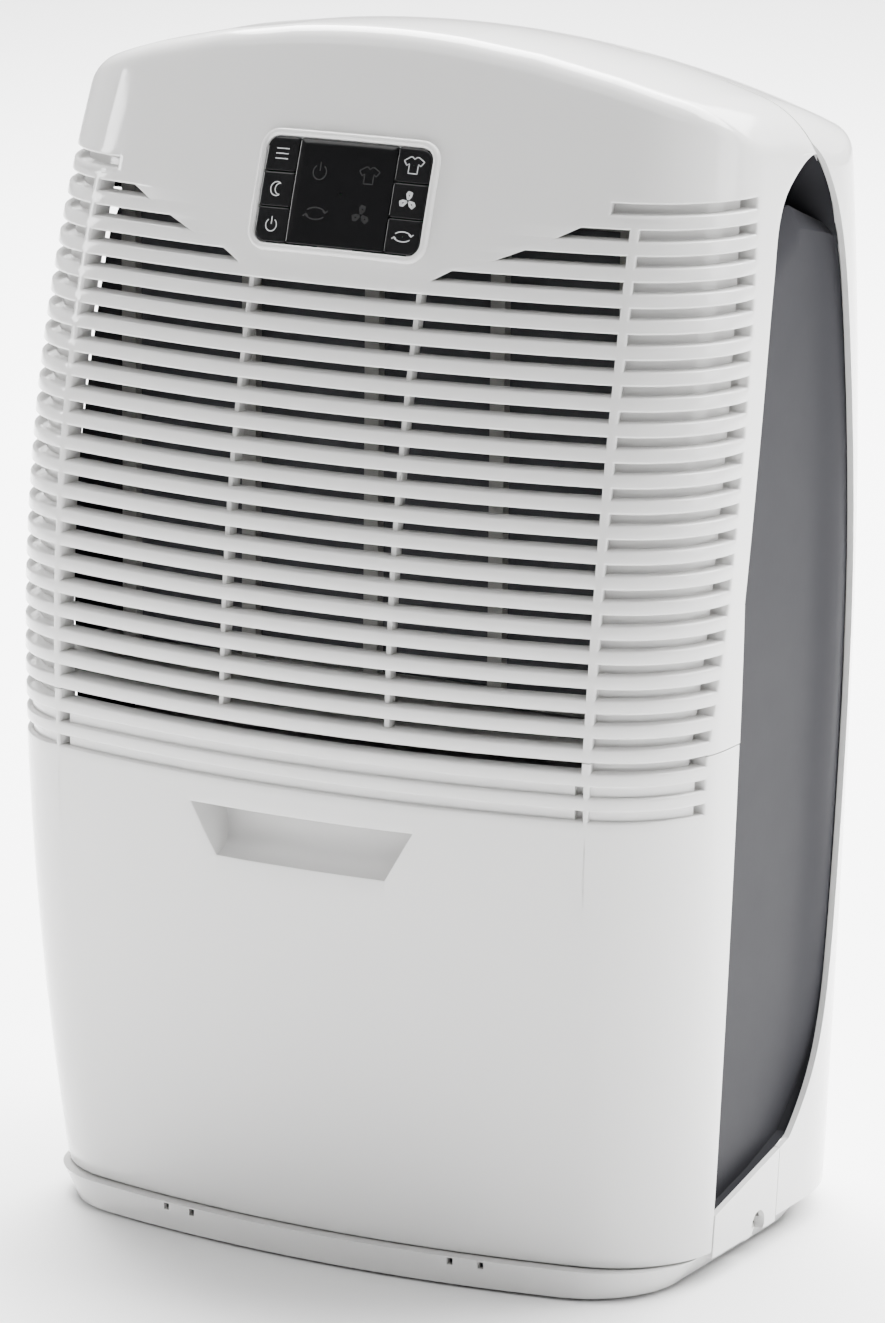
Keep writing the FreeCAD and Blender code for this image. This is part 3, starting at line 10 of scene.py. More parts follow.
import bmesh
import bpy
from mathutils import Matrix, Vector
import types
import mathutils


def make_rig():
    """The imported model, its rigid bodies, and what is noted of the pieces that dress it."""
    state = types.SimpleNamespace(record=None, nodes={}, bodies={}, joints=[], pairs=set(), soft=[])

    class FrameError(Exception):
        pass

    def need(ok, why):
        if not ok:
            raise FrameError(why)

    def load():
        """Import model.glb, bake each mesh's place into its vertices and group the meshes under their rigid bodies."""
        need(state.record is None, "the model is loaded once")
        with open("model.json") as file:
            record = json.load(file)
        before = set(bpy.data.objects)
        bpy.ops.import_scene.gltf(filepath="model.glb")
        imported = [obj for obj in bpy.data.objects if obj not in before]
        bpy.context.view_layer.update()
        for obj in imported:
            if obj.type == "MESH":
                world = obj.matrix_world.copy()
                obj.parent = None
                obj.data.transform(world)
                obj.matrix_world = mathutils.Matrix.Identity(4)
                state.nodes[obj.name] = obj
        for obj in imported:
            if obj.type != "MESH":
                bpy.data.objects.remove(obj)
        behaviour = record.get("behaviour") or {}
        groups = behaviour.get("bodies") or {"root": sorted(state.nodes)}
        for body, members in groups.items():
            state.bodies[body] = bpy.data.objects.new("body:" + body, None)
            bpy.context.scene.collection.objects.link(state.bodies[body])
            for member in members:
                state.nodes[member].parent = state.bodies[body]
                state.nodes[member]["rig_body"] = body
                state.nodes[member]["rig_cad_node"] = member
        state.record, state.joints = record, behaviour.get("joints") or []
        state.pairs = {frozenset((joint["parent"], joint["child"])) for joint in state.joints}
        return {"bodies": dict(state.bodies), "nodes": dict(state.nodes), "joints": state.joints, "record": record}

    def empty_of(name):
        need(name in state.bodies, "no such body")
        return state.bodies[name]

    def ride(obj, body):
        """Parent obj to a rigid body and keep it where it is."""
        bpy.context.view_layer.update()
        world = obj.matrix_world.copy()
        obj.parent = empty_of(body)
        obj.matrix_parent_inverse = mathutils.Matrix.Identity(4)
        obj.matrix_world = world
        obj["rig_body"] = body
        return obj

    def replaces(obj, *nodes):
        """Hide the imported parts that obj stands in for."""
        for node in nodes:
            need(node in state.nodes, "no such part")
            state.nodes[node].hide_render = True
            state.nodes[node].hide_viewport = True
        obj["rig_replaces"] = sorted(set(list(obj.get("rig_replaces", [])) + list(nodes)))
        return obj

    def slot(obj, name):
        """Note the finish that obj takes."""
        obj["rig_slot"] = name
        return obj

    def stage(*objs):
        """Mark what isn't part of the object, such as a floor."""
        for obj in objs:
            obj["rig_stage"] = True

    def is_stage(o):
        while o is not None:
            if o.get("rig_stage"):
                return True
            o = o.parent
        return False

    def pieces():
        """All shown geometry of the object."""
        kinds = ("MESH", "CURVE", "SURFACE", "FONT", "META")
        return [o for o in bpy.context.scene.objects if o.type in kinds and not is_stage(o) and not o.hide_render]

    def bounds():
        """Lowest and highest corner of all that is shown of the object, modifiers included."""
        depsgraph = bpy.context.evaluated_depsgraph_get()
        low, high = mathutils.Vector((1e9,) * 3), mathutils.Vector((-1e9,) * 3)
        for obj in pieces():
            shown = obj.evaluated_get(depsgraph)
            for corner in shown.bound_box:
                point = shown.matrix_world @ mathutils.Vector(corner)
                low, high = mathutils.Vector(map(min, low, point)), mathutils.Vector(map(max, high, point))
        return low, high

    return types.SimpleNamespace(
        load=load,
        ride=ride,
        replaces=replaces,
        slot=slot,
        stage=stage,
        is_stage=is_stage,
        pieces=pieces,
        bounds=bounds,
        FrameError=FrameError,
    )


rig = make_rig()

LOG = logging.getLogger("dehumidifier")
MM = 0.001
TINY = 1e-6
SIDE_CREASE = 24.0
Pair = tuple[float, float]
Place = tuple[float, float, float]


# ---- shader expressions --------------------------------------------------------------------
class Tap:
    """One output of a shader node, which takes part in Python arithmetic."""

    def __init__(self, dresser: "Dresser", socket: bpy.types.NodeSocket) -> None:
        """Hold a socket.

        Args:
            dresser: the material that the socket is in.
            socket: the output.
        """
        self.dresser = dresser
        self.socket = socket

    def _math(self, operation: str, first: "Value", second: "Value") -> "Tap":
        """One Math node.

        Args:
            operation: the node's operation.
            first: first value.
            second: second value.

        Returns:
            The node's output.
        """
        return self.dresser.node("ShaderNodeMath", {"operation": operation}, {0: first, 1: second})

    def __add__(self, other: "Value") -> "Tap":
        """This value plus another."""
        return self._math("ADD", self, other)

    def __radd__(self, other: "Value") -> "Tap":
        """A number plus this value."""
        return self._math("ADD", other, self)

    def __sub__(self, other: "Value") -> "Tap":
        """This value less another."""
        return self._math("SUBTRACT", self, other)

    def __rsub__(self, other: "Value") -> "Tap":
        """A number less this value."""
        return self._math("SUBTRACT", other, self)

    def __mul__(self, other: "Value") -> "Tap":
        """This value times another."""
        return self._math("MULTIPLY", self, other)

    def __rmul__(self, other: "Value") -> "Tap":
        """A number times this value."""
        return self._math("MULTIPLY", other, self)

    def __truediv__(self, other: "Value") -> "Tap":
        """This value over another."""
        return self._math("DIVIDE", self, other)

    def over(self, edge: float) -> "Tap":
        """1 where the value is over the edge."""
        return self._math("GREATER_THAN", self, edge)

    def least(self, other: "Value") -> "Tap":
        """The smaller of two values."""
        return self._math("MINIMUM", self, other)

    def most(self, other: "Value") -> "Tap":
        """The larger of two values."""
        return self._math("MAXIMUM", self, other)

    def fraction(self) -> "Tap":
        """The part after the point."""
        return self._math("FRACT", self, 0.0)


Value = Union[Tap, float]
Colour = tuple[float, float, float]
MIX_FIRST = 6
MIX_SECOND = 7
MIX_RESULT = 2


class Dresser:
    """Builds one material's node tree."""

    def __init__(self, name: str) -> None:
        """Start an empty material.

        Args:
            name: the material's name.
        """
        self.material = bpy.data.materials.new(name)
        self.material.use_nodes = True
        self.tree = self.material.node_tree
        self.tree.nodes.clear()
        self.output = self.tree.nodes.new("ShaderNodeOutputMaterial")
        self.coordinates: Optional[Tap] = None

    def node(self, kind: str, settings: dict, inputs: dict, output: Union[int, str] = 0) -> Tap:
        """Add any node.

        Args:
            kind: the node's type.
            settings: its properties.
            inputs: values or taps by socket name or number.
            output: the socket wanted.

        Returns:
            The tap on that output.
        """
        made = self.tree.nodes.new(kind)
        for key, value in settings.items():
            setattr(made, key, value)
        for key, value in inputs.items():
            target = made.inputs[key]
            if isinstance(value, Tap):
                self.tree.links.new(value.socket, target)
            elif isinstance(value, tuple) and len(value) == 3 and target.type == "RGBA":
                target.default_value = (*value, 1.0)
            else:
                target.default_value = value
        return Tap(self, made.outputs[output])

    def place(self) -> Tap:
        """The point on the object, in metres.

        Returns:
            The coordinates.
        """
        if self.coordinates is None:
            self.coordinates = self.node("ShaderNodeTexCoord", {}, {}, "Object")
        return self.coordinates

    def stretched(self, scale: Place) -> Tap:
        """The point on the object, scaled on each axis."""
        return self.node("ShaderNodeMapping", {}, {"Vector": self.place(), "Scale": scale})

    def noise(self, scale: float, detail: float = 2.0, where: Optional[Tap] = None) -> Tap:
        """Noise from 0 to 1.

        Args:
            scale: features per metre.
            detail: octaves.
            where: coordinates, or the object's own.

        Returns:
            The noise value.
        """
        return self.node("ShaderNodeTexNoise", {}, {"Vector": where or self.place(), "Scale": scale,
                                                    "Detail": detail, "Roughness": 0.55})

    def mix(self, share: Value, first: Union[Tap, Colour], second: Union[Tap, Colour]) -> Tap:
        """A colour between two colours."""
        return self.node("ShaderNodeMix", {"data_type": "RGBA"},
                         {"Factor": share, MIX_FIRST: first, MIX_SECOND: second}, MIX_RESULT)

    def bump(self, height: Value, strength: float, distance: float) -> Tap:
        """A bumped normal.

        Args:
            height: the height value.
            strength: from 0 to 1.
            distance: height of one unit, in metres.

        Returns:
            The normal.
        """
        return self.node("ShaderNodeBump", {}, {"Height": height, "Strength": strength, "Distance": distance})

    def surface(self, varying: dict, uniform: dict) -> bpy.types.Material:
        """Finish the material with one principled shader.

        Args:
            varying: taps by socket name.
            uniform: numbers and colours by socket name.

        Returns:
            The material.
        """
        shader = self.node("ShaderNodeBsdfPrincipled", {}, {**uniform, **varying})
        self.tree.links.new(shader.socket, self.output.inputs["Surface"])
        return self.material


# ---- finishes ------------------------------------------------------------------------------
@dataclass(frozen=True)
class MouldedPlastic:
    """Injection moulded plastic with its faint flow, grain and rubbed sheen."""

    name: str
    colour: Colour
    tint: Colour
    roughness: float = 0.22
    spread: float = 0.06
    grain: float = 2600.0
    relief: float = 0.00002
    gloss_coat: float = 0.0
    specular: float = 0.5

    def make(self) -> bpy.types.Material:
        """Build the material.

        Returns:
            The material.
        """
        kit = Dresser(self.name)
        flow = kit.noise(9.0, 3.0)
        cloud = kit.noise(55.0, 4.0)
        fine = kit.noise(self.grain, 2.0)
        peel = kit.noise(self.grain * 0.13, 2.0)
        speck = kit.noise(self.grain * 0.5, 1.0).over(0.76) * 0.5
        colour = kit.mix(flow * 0.6 + cloud * 0.3 + speck * 0.25, self.colour, self.tint)
        rough = self.roughness + (cloud - 0.5) * self.spread + (fine - 0.5) * self.spread * 0.6
        normal = kit.bump(fine * 0.45 + peel * 0.8, 0.5, self.relief)
        return kit.surface({"Base Color": colour, "Roughness": rough, "Normal": normal},
                           {"Coat Weight": self.gloss_coat, "Coat Roughness": 0.06,
                            "Specular IOR Level": self.specular, "IOR": 1.5})


@dataclass(frozen=True)
class BareMetal:
    """Metal with drawn or turned marks along one axis."""

    name: str
    colour: Colour
    tarnish: Colour
    roughness: float = 0.3
    along: Place = (60.0, 900.0, 900.0)

    def make(self) -> bpy.types.Material:
        """Build the material.

        Returns:
            The material.
        """
        kit = Dresser(self.name)
        marks = kit.noise(1.0, 3.0, kit.stretched(self.along))
        stain = kit.noise(38.0, 4.0)
        colour = kit.mix(stain * 0.8 + marks * 0.3, self.colour, self.tarnish)
        rough = self.roughness + (marks - 0.5) * 0.2 + (stain - 0.5) * 0.12
        normal = kit.bump(marks, 0.35, 0.00003)
        return kit.surface({"Base Color": colour, "Roughness": rough, "Normal": normal}, {"Metallic": 1.0})


@dataclass(frozen=True)
class WovenNet:
    """Fine filter net, threads both ways, with random dust and painted shade in the gaps between the threads."""

    name: str
    colour: Colour
    # The dark colour: painted shade in the gaps between threads, also reached a little by dust.
    gap_shade_and_dust: Colour
    pitch: float = 0.0016

    def make(self) -> bpy.types.Material:
        """Build the material.

        Returns:
            The material.
        """
        kit = Dresser(self.name)
        parts = kit.node("ShaderNodeSeparateXYZ", {}, {"Vector": kit.place()})
        across = Tap(kit, parts.socket.node.outputs["X"])
        upward = Tap(kit, parts.socket.node.outputs["Z"])
        threads = []
        for axis in (across, upward):
            wave = (axis / self.pitch).fraction() - 0.5
            threads.append(1.0 - (wave * wave * 14.0).least(1.0))
        weave = threads[0].most(threads[1])
        dust = kit.noise(46.0, 4.0)
        # Painted shade: the gaps between the threads are mixed towards the dark colour as if shade lay behind them;
        # the noise adds a little random dust.
        colour = kit.mix((1.0 - weave) * 0.9 + dust * 0.15, self.colour, self.gap_shade_and_dust)
        normal = kit.bump(weave, 0.8, 0.0003)
        return kit.surface({"Base Color": colour, "Roughness": 0.62 + dust * 0.25, "Normal": normal}, {})


@dataclass(frozen=True)
class Elastomer:
    """Rubber or soft plastic with a dull bloom."""

    name: str
    colour: Colour
    bloom: Colour

    def make(self) -> bpy.types.Material:
        """Build the material.

        Returns:
            The material.
        """
        kit = Dresser(self.name)
        bloom = kit.noise(80.0, 4.0)
        grain = kit.noise(1800.0, 3.0)
        colour = kit.mix(bloom * 0.7, self.colour, self.bloom)
        return kit.surface({"Base Color": colour, "Roughness": 0.66 + (bloom - 0.5) * 0.2,
                            "Normal": kit.bump(grain, 0.6, 0.00006)}, {"Specular IOR Level": 0.35})


@dataclass(frozen=True)
class SmokedGlass:
    """Near-black gloss window with faint wipe marks."""

    name: str
    colour: Colour

    def make(self) -> bpy.types.Material:
        """Build the material.

        Returns:
            The material.
        """
        kit = Dresser(self.name)
        wipe = kit.noise(1.0, 3.0, kit.stretched((30.0, 30.0, 210.0)))
        dust = kit.noise(5200.0, 1.0).over(0.79)
        colour = kit.mix(dust * 0.5, self.colour, (0.05, 0.05, 0.052))
        rough = 0.085 + wipe * 0.05 + dust * 0.2
        return kit.surface({"Base Color": colour, "Roughness": rough},
                           {"Specular IOR Level": 0.45, "IOR": 1.5})


@dataclass(frozen=True)
class PrintedInk:
    """Screen-printed mark, slightly uneven."""

    name: str
    colour: Colour

    def make(self) -> bpy.types.Material:
        """Build the material.

        Returns:
            The material.
        """
        kit = Dresser(self.name)
        screen = kit.noise(4200.0, 2.0)
        colour = kit.mix(screen * 0.35, self.colour, tuple(c * 0.8 for c in self.colour))
        return kit.surface({"Base Color": colour, "Roughness": 0.42 + (screen - 0.5) * 0.15}, {})


@dataclass(frozen=True)
class CoatedBoard:
    """Circuit board with tracks under green lacquer."""

    name: str
    colour: Colour
    track: Colour

    def make(self) -> bpy.types.Material:
        """Build the material.

        Returns:
            The material.
        """
        kit = Dresser(self.name)
        cells = kit.node("ShaderNodeTexVoronoi", {"distance": "CHEBYCHEV", "feature": "F1"},
                         {"Vector": kit.place(), "Scale": 260.0})
        lines = (cells * 6.0).fraction().over(0.62)
        colour = kit.mix(lines * 0.6, self.colour, self.track)
        return kit.surface({"Base Color": colour, "Roughness": 0.32 + lines * 0.08,
                            "Normal": kit.bump(lines, 0.4, 0.00005)}, {})


class Coat(Enum):
    """The finishes of this object."""

    WHITE = MouldedPlastic("gloss_white_shell", (0.66, 0.655, 0.645), (0.635, 0.633, 0.628), 0.085, 0.025)
    WHITE_INNER = MouldedPlastic("plain_white_moulding", (0.74, 0.735, 0.72), (0.66, 0.655, 0.64), 0.42, 0.1)
    GREY = MouldedPlastic("satin_grey_panel", (0.028, 0.028, 0.031), (0.022, 0.022, 0.025), 0.46, 0.08,
                          3200.0, 0.00005, specular=0.03)
    TANK = MouldedPlastic("milky_tank", (0.62, 0.64, 0.65), (0.54, 0.56, 0.57), 0.3, 0.08)
    INSIDE = MouldedPlastic("inner_frame", (0.46, 0.455, 0.44), (0.37, 0.365, 0.35), 0.48, 0.1)
    SMOKED = SmokedGlass("smoked_window", (0.006, 0.006, 0.0065))
    KEY = SmokedGlass("smoked_key", (0.009, 0.009, 0.0095))
    INK = PrintedInk("grey_ink", (0.55, 0.56, 0.57))
    GHOST = PrintedInk("unlit_ink", (0.0125, 0.0125, 0.013))
    RUBBER = Elastomer("foot_rubber", (0.022, 0.022, 0.023), (0.045, 0.045, 0.046))
    STEEL = BareMetal("plated_steel", (0.62, 0.62, 0.60), (0.42, 0.42, 0.40), 0.32)
    LAMINATION = BareMetal("lamination_steel", (0.32, 0.32, 0.33), (0.20, 0.19, 0.18), 0.45)
    COPPER = BareMetal("drawn_copper", (0.72, 0.38, 0.23), (0.42, 0.22, 0.13), 0.28)
    ALUMINIUM = BareMetal("fin_aluminium", (0.78, 0.78, 0.79), (0.58, 0.58, 0.60), 0.34, (400.0, 400.0, 40.0))
    ENAMEL = MouldedPlastic("black_enamel", (0.014, 0.014, 0.015), (0.026, 0.026, 0.027), 0.3, 0.1, 900.0,
                            0.00006, 0.3)
    # The net's second colour is painted shade for the gaps between its threads, and a little dust.
    NET = WovenNet("filter_net", (0.40, 0.39, 0.36), (0.055, 0.053, 0.048))
    BOARD = CoatedBoard("green_board", (0.02, 0.11, 0.045), (0.05, 0.22, 0.09))
    FLOOR = MouldedPlastic("studio_floor", (0.90, 0.90, 0.90), (0.885, 0.885, 0.885), 0.6, 0.02, 400.0,
                           0.00001)

    def material(self) -> bpy.types.Material:
        """The finish's material, made once."""
        found = bpy.data.materials.get(self.value.name)
        return found or self.value.make()


# ---- meshes --------------------------------------------------------------------------------
@dataclass
class Shape:
    """Vertices in millimetres and the faces between them."""

    points: list[Vector] = field(default_factory=list)
    faces: list[tuple[int, ...]] = field(default_factory=list)

    def sheet(self, rows: Sequence[Sequence[Vector]], skip: Optional[Callable[[int, int], bool]] = None,
              closed: bool = False) -> None:
        """Add a grid of faces.

        Args:
            rows: rows of equally many points.
            skip: says which cell (row, column) is left open.
            closed: whether each row's last point joins its first.
        """
        start = len(self.points)
        width = len(rows[0])
        for row in rows:
            self.points.extend(row)
        for i in range(len(rows) - 1):
            for j in range(width if closed else width - 1):
                if skip is not None and skip(i, j):
                    continue
                k = (j + 1) % width
                self.faces.append((start + i * width + j, start + i * width + k,
                                   start + (i + 1) * width + k, start + (i + 1) * width + j))

    def flipped(self) -> "Shape":
        """The mirror image of this shape across X."""
        return Shape([Vector((-p.x, p.y, p.z)) for p in self.points],
                     [tuple(reversed(face)) for face in self.faces])

    def mirrored(self) -> "Shape":
        """This shape with its mirror image across X.

        Returns:
            Both halves.
        """
        count = len(self.points)
        other = self.flipped()
        far_faces = [tuple(count + n for n in face) for face in other.faces]
        return Shape(self.points + other.points, self.faces + far_faces)

    def piece(self, name: str, body: str, coat: Coat, slot: str, replaces: Iterable[str] = (),
              crease: float = 38.0, weld: float = 0.004) -> bpy.types.Object:
        """Make the object.

        Args:
            name: piece name.
            body: the CAD body it rides on.
            coat: its finish.
            slot: the record's material slot.
            replaces: CAD nodes it stands for.
            crease: edges sharper than this stay sharp, in degrees.
            weld: points nearer than this are joined, in millimetres.

        Returns:
            The object.
        """
        mesh = bpy.data.meshes.new(name)
        build = bmesh.new()
        made = [build.verts.new(p * MM) for p in self.points]
        for numbers in self.faces:
            if len(set(numbers)) > 2:
                try:
                    build.faces.new([made[n] for n in numbers])
                except ValueError:
                    pass
        bmesh.ops.remove_doubles(build, verts=build.verts, dist=weld * MM)
        bmesh.ops.dissolve_degenerate(build, edges=build.edges, dist=weld * MM * 0.5)
        loose = [v for v in build.verts if not v.link_faces]
        bmesh.ops.delete(build, geom=loose, context="VERTS")
        for face in build.faces:
            face.smooth = True
        build.to_mesh(mesh)
        build.free()
        mesh.set_sharp_from_angle(angle=math.radians(crease))
        made_object = bpy.data.objects.new(name, mesh)
        bpy.context.scene.collection.objects.link(made_object)
        mesh.materials.append(coat.material())
        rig.ride(made_object, body)
        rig.slot(made_object, slot)
        names = list(replaces)
        if names:
            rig.replaces(made_object, *names)
        LOG.info("%s: %d faces on %s", name, len(mesh.polygons), body)
        return made_object


def arc_steps(radius: float, count: int = 3) -> list[Pair]:
    """Profile of a rounded edge.

    Args:
        radius: rounding.
        count: segments.

    Returns:
        Pairs of (distance before the edge, depth) from the flat face to the edge's side.
    """
    steps = []
    for i in range(count + 1):
        turn = math.pi / 2 * i / count
        steps.append((radius * (1 - math.sin(turn)), radius * (1 - math.cos(turn))))
    return steps


@dataclass(frozen=True)
class Form:
    """The outer form of the body; the sizes are the frame's own."""

    width: float = 342.0
    depth: float = 258.0
    height: float = 535.0
    belly: float = 228.0
    lower_draw: float = 24.6
    upper_draw: float = 61.9
    widest: float = 300.0
    foot_draw: float = 10.3
    crown_draw: float = 11.8
    front_crown: float = 560.0
    front_corner: float = 52.0
    rear_corner: float = 85.0
    rear_crown: float = 900.0
    arch: float = 435.0
    shoulder: float = 45.0
    shoulder_inset: float = 2.0
    dome: float = 400.0
    crest: float = -52.0
    fold: float = 12.0

    def half_width(self, z: float) -> float:
        """Half the width at a height.

        Args:
            z: height.

        Returns:
            Half the width.
        """
        if z < self.widest:
            return self.width / 2 - self.foot_draw * (max(0.0, self.widest - z) / self.widest) ** 1.4
        return self.width / 2 - self.crown_draw * ((z - self.widest) / (self.height - self.widest)) ** 2.2

    def face_y(self, z: float) -> float:
        """How far forward the middle of the face stands at a height.

        Args:
            z: height.

        Returns:
            The place front to back.
        """
        if z < self.belly:
            return -self.depth / 2 + self.lower_draw * ((self.belly - z) / self.belly) ** 1.9
        return -self.depth / 2 + self.upper_draw * ((z - self.belly) / (self.height - self.belly)) ** 2.1

    def _front(self, z: float) -> tuple[float, float, float, float]:
        """Centre of the front corner, the front arc's angle and its length.

        Args:
            z: height.

        Returns:
            Centre x and y, the arc's angle and its length.
        """
        cx = self.half_width(z) - self.front_corner
        reach = math.sqrt((self.front_crown - self.front_corner) ** 2 - cx ** 2)
        cy = self.face_y(z) + self.front_crown - reach
        angle = math.atan2(cx, reach)
        return cx, cy, angle, self.front_crown * angle

    def _rear(self, z: float) -> tuple[float, float, float]:
        """Centre of the rear corner and the rear arc's angle.

        Args:
            z: height.

        Returns:
            Centre x and y, and the arc's angle.
        """
        cx = self.half_width(z) - self.rear_corner
        reach = math.sqrt((self.rear_crown - self.rear_corner) ** 2 - cx ** 2)
        return cx, self.depth / 2 - self.rear_crown + reach, math.atan2(cx, reach)

    def length_at_x(self, x: float, z: float) -> float:
        """Plan length from the front's middle to a place on the front or its corner.

        Args:
            x: place across.
            z: height.

        Returns:
            The plan length.
        """
        cx, _, angle, front = self._front(z)
        if x <= self.front_crown * math.sin(angle):
            return self.front_crown * math.asin(x / self.front_crown)
        return front + self.front_corner * (math.asin(min(1.0, (x - cx) / self.front_corner)) - angle)

    def length_at_y(self, y: float, z: float) -> float:
        """Plan length from the front's middle to a place on the corner, side or rear corner.

        Args:
            y: place front to back.
            z: height.

        Returns:
            The plan length.
        """
        _, cy, angle, front = self._front(z)
        corner = front + self.front_corner * (math.pi / 2 - angle)
        if y < cy:
            return front + self.front_corner * (math.acos(min(1.0, (cy - y) / self.front_corner)) - angle)
        _, ry, _ = self._rear(z)
        if y <= ry:
            return corner + y - cy
        return corner + ry - cy + self.rear_corner * math.asin(min(1.0, (y - ry) / self.rear_corner))

    def rear_length(self, z: float) -> float:
        """Plan length from the front's middle to the rear's middle.

        Args:
            z: height.

        Returns:
            The plan length.
        """
        _, cy, angle, front = self._front(z)
        _, ry, back = self._rear(z)
        corner = front + self.front_corner * (math.pi / 2 - angle)
        return corner + ry - cy + self.rear_corner * (math.pi / 2 - back) + self.rear_crown * back

    def skin(self, length: float, z: float, inset: float = 0.0) -> Vector:
        """A point of the walls.

        Args:
            length: plan length from the front's middle.
            z: height.
            inset: how far in from the outer face.

        Returns:
            The point.
        """
        cx, cy, angle, front = self._front(z)
        corner = front + self.front_corner * (math.pi / 2 - angle)
        rx, ry, back = self._rear(z)
        if length < front:
            turn = length / self.front_crown
            reach = self.front_crown
            middle = Vector((0.0, self.face_y(z) + self.front_crown))
        elif length < corner:
            turn = angle + (length - front) / self.front_corner
            reach = self.front_corner
            middle = Vector((cx, cy))
        elif length < corner + ry - cy:
            return Vector((self.half_width(z) - inset, cy + length - corner, z))
        elif length < corner + ry - cy + self.rear_corner * (math.pi / 2 - back):
            turn = math.pi / 2 + (length - corner - ry + cy) / self.rear_corner
            reach = self.rear_corner
            middle = Vector((rx, ry))
        else:
            turn = math.pi - (self.rear_length(z) - length) / self.rear_crown
            reach = self.rear_crown
            middle = Vector((0.0, self.depth / 2 - self.rear_crown))
        reach -= inset
        return Vector((middle.x + reach * math.sin(turn), middle.y - reach * math.cos(turn), z))

    def top(self, x: float, y: float, inset: float = 0.0) -> float:
        """Height of the arched top over a place.

        Args:
            x: place across.
            y: place front to back.
            inset: how far in from the outer face.

        Returns:
            The height.
        """
        crest = self.height - inset - (y - self.crest) ** 2 / (2 * self.dome)
        big = self.arch - inset
        small = self.shoulder - inset
        cx = self.width / 2 - self.shoulder_inset - self.shoulder
        cz = math.sqrt((big - small) ** 2 - cx ** 2)
        x = abs(x)
        if x <= cx * big / (big - small):
            return crest - big + math.sqrt(big ** 2 - x ** 2)
        return crest - big + cz + math.sqrt(max(0.0, small ** 2 - (x - cx) ** 2))

    def wall_top(self, length_of: Callable[[float], float], low: float) -> float:
        """Height where a column of the wall meets the top.

        Args:
            length_of: the column's plan length at a height.
            low: a height under the meeting.

        Returns:
            The height.
        """
        high = self.height + 8.0
        for _ in range(40):
            middle = (low + high) / 2
            point = self.skin(length_of(middle), middle)
            if self.top(point.x, point.y) > middle:
                low = middle
            else:
                high = middle
        return (low + high) / 2


@dataclass(frozen=True)
class SideOpening:
    """The leaf-shaped opening in each side."""

    front: float = -48.0
    foot: float = 31.0
    apex_y: float = 25.6
    apex_z: float = 487.5
    rise: tuple[Pair, ...] = ((302.5, -48.0), (367.0, -35.3), (437.0, -18.7), (467.5, -6.0), (487.5, 25.6))
    fall: tuple[Pair, ...] = ((487.5, 25.6), (462.0, 42.5), (398.5, 54.2), (290.5, 63.3), (149.0, 58.2),
                              (78.0, 43.7), (47.5, 20.8))

    @staticmethod
    def _run(points: Sequence[Pair], z: float) -> float:
        """Smooth run through (height, y) points, read at a height.

        Args:
            points: (height, y) pairs.
            z: height.

        Returns:
            The place front to back.
        """
        best = points[0][1]
        for i in range(len(points) - 1):
            p1, p2 = points[i], points[i + 1]
            low, high = sorted((p1[0], p2[0]))
            if not low <= z <= high:
                continue
            p0 = points[i - 1] if i else (2 * p1[0] - p2[0], 2 * p1[1] - p2[1])
            p3 = points[i + 2] if i + 2 < len(points) else (2 * p2[0] - p1[0], 2 * p2[1] - p1[1])
            share = (z - p1[0]) / (p2[0] - p1[0])
            enter = (p2[1] - p0[1]) / (p2[0] - p0[0]) * (p2[0] - p1[0])
            leave = (p3[1] - p1[1]) / (p3[0] - p1[0]) * (p2[0] - p1[0])
            s2, s3 = share * share, share ** 3
            best = ((2 * s3 - 3 * s2 + 1) * p1[1] + (s3 - 2 * s2 + share) * enter
                    + (3 * s2 - 2 * s3) * p2[1] + (s3 - s2) * leave)
        return best

    def front_edge(self, z: float) -> float:
        """How far back the opening begins at a height.

        Args:
            z: height.

        Returns:
            The place front to back.
        """
        if z <= self.rise[0][0]:
            return self.front
        if z >= self.apex_z:
            return self.apex_y
        return self._run(self.rise, z)

    def rear_edge(self, z: float) -> float:
        """How far back the opening ends at a height.

        Args:
            z: height.

        Returns:
            The place front to back.
        """
        if z >= self.apex_z:
            return self.apex_y
        if z <= self.fall[-1][0]:
            low, high = (self.foot, self.front), self.fall[-1]
            share = max(0.0, min(1.0, (z - low[0]) / (high[0] - low[0])))
            return low[1] + (high[1] - low[1]) * share
        return self._run(self.fall, z)


OPEN = 99.0


@dataclass
class Level:
    """One height of a skin: how deep the relief may go there, and the row it belongs to."""

    z: float
    limit: float
    row: int


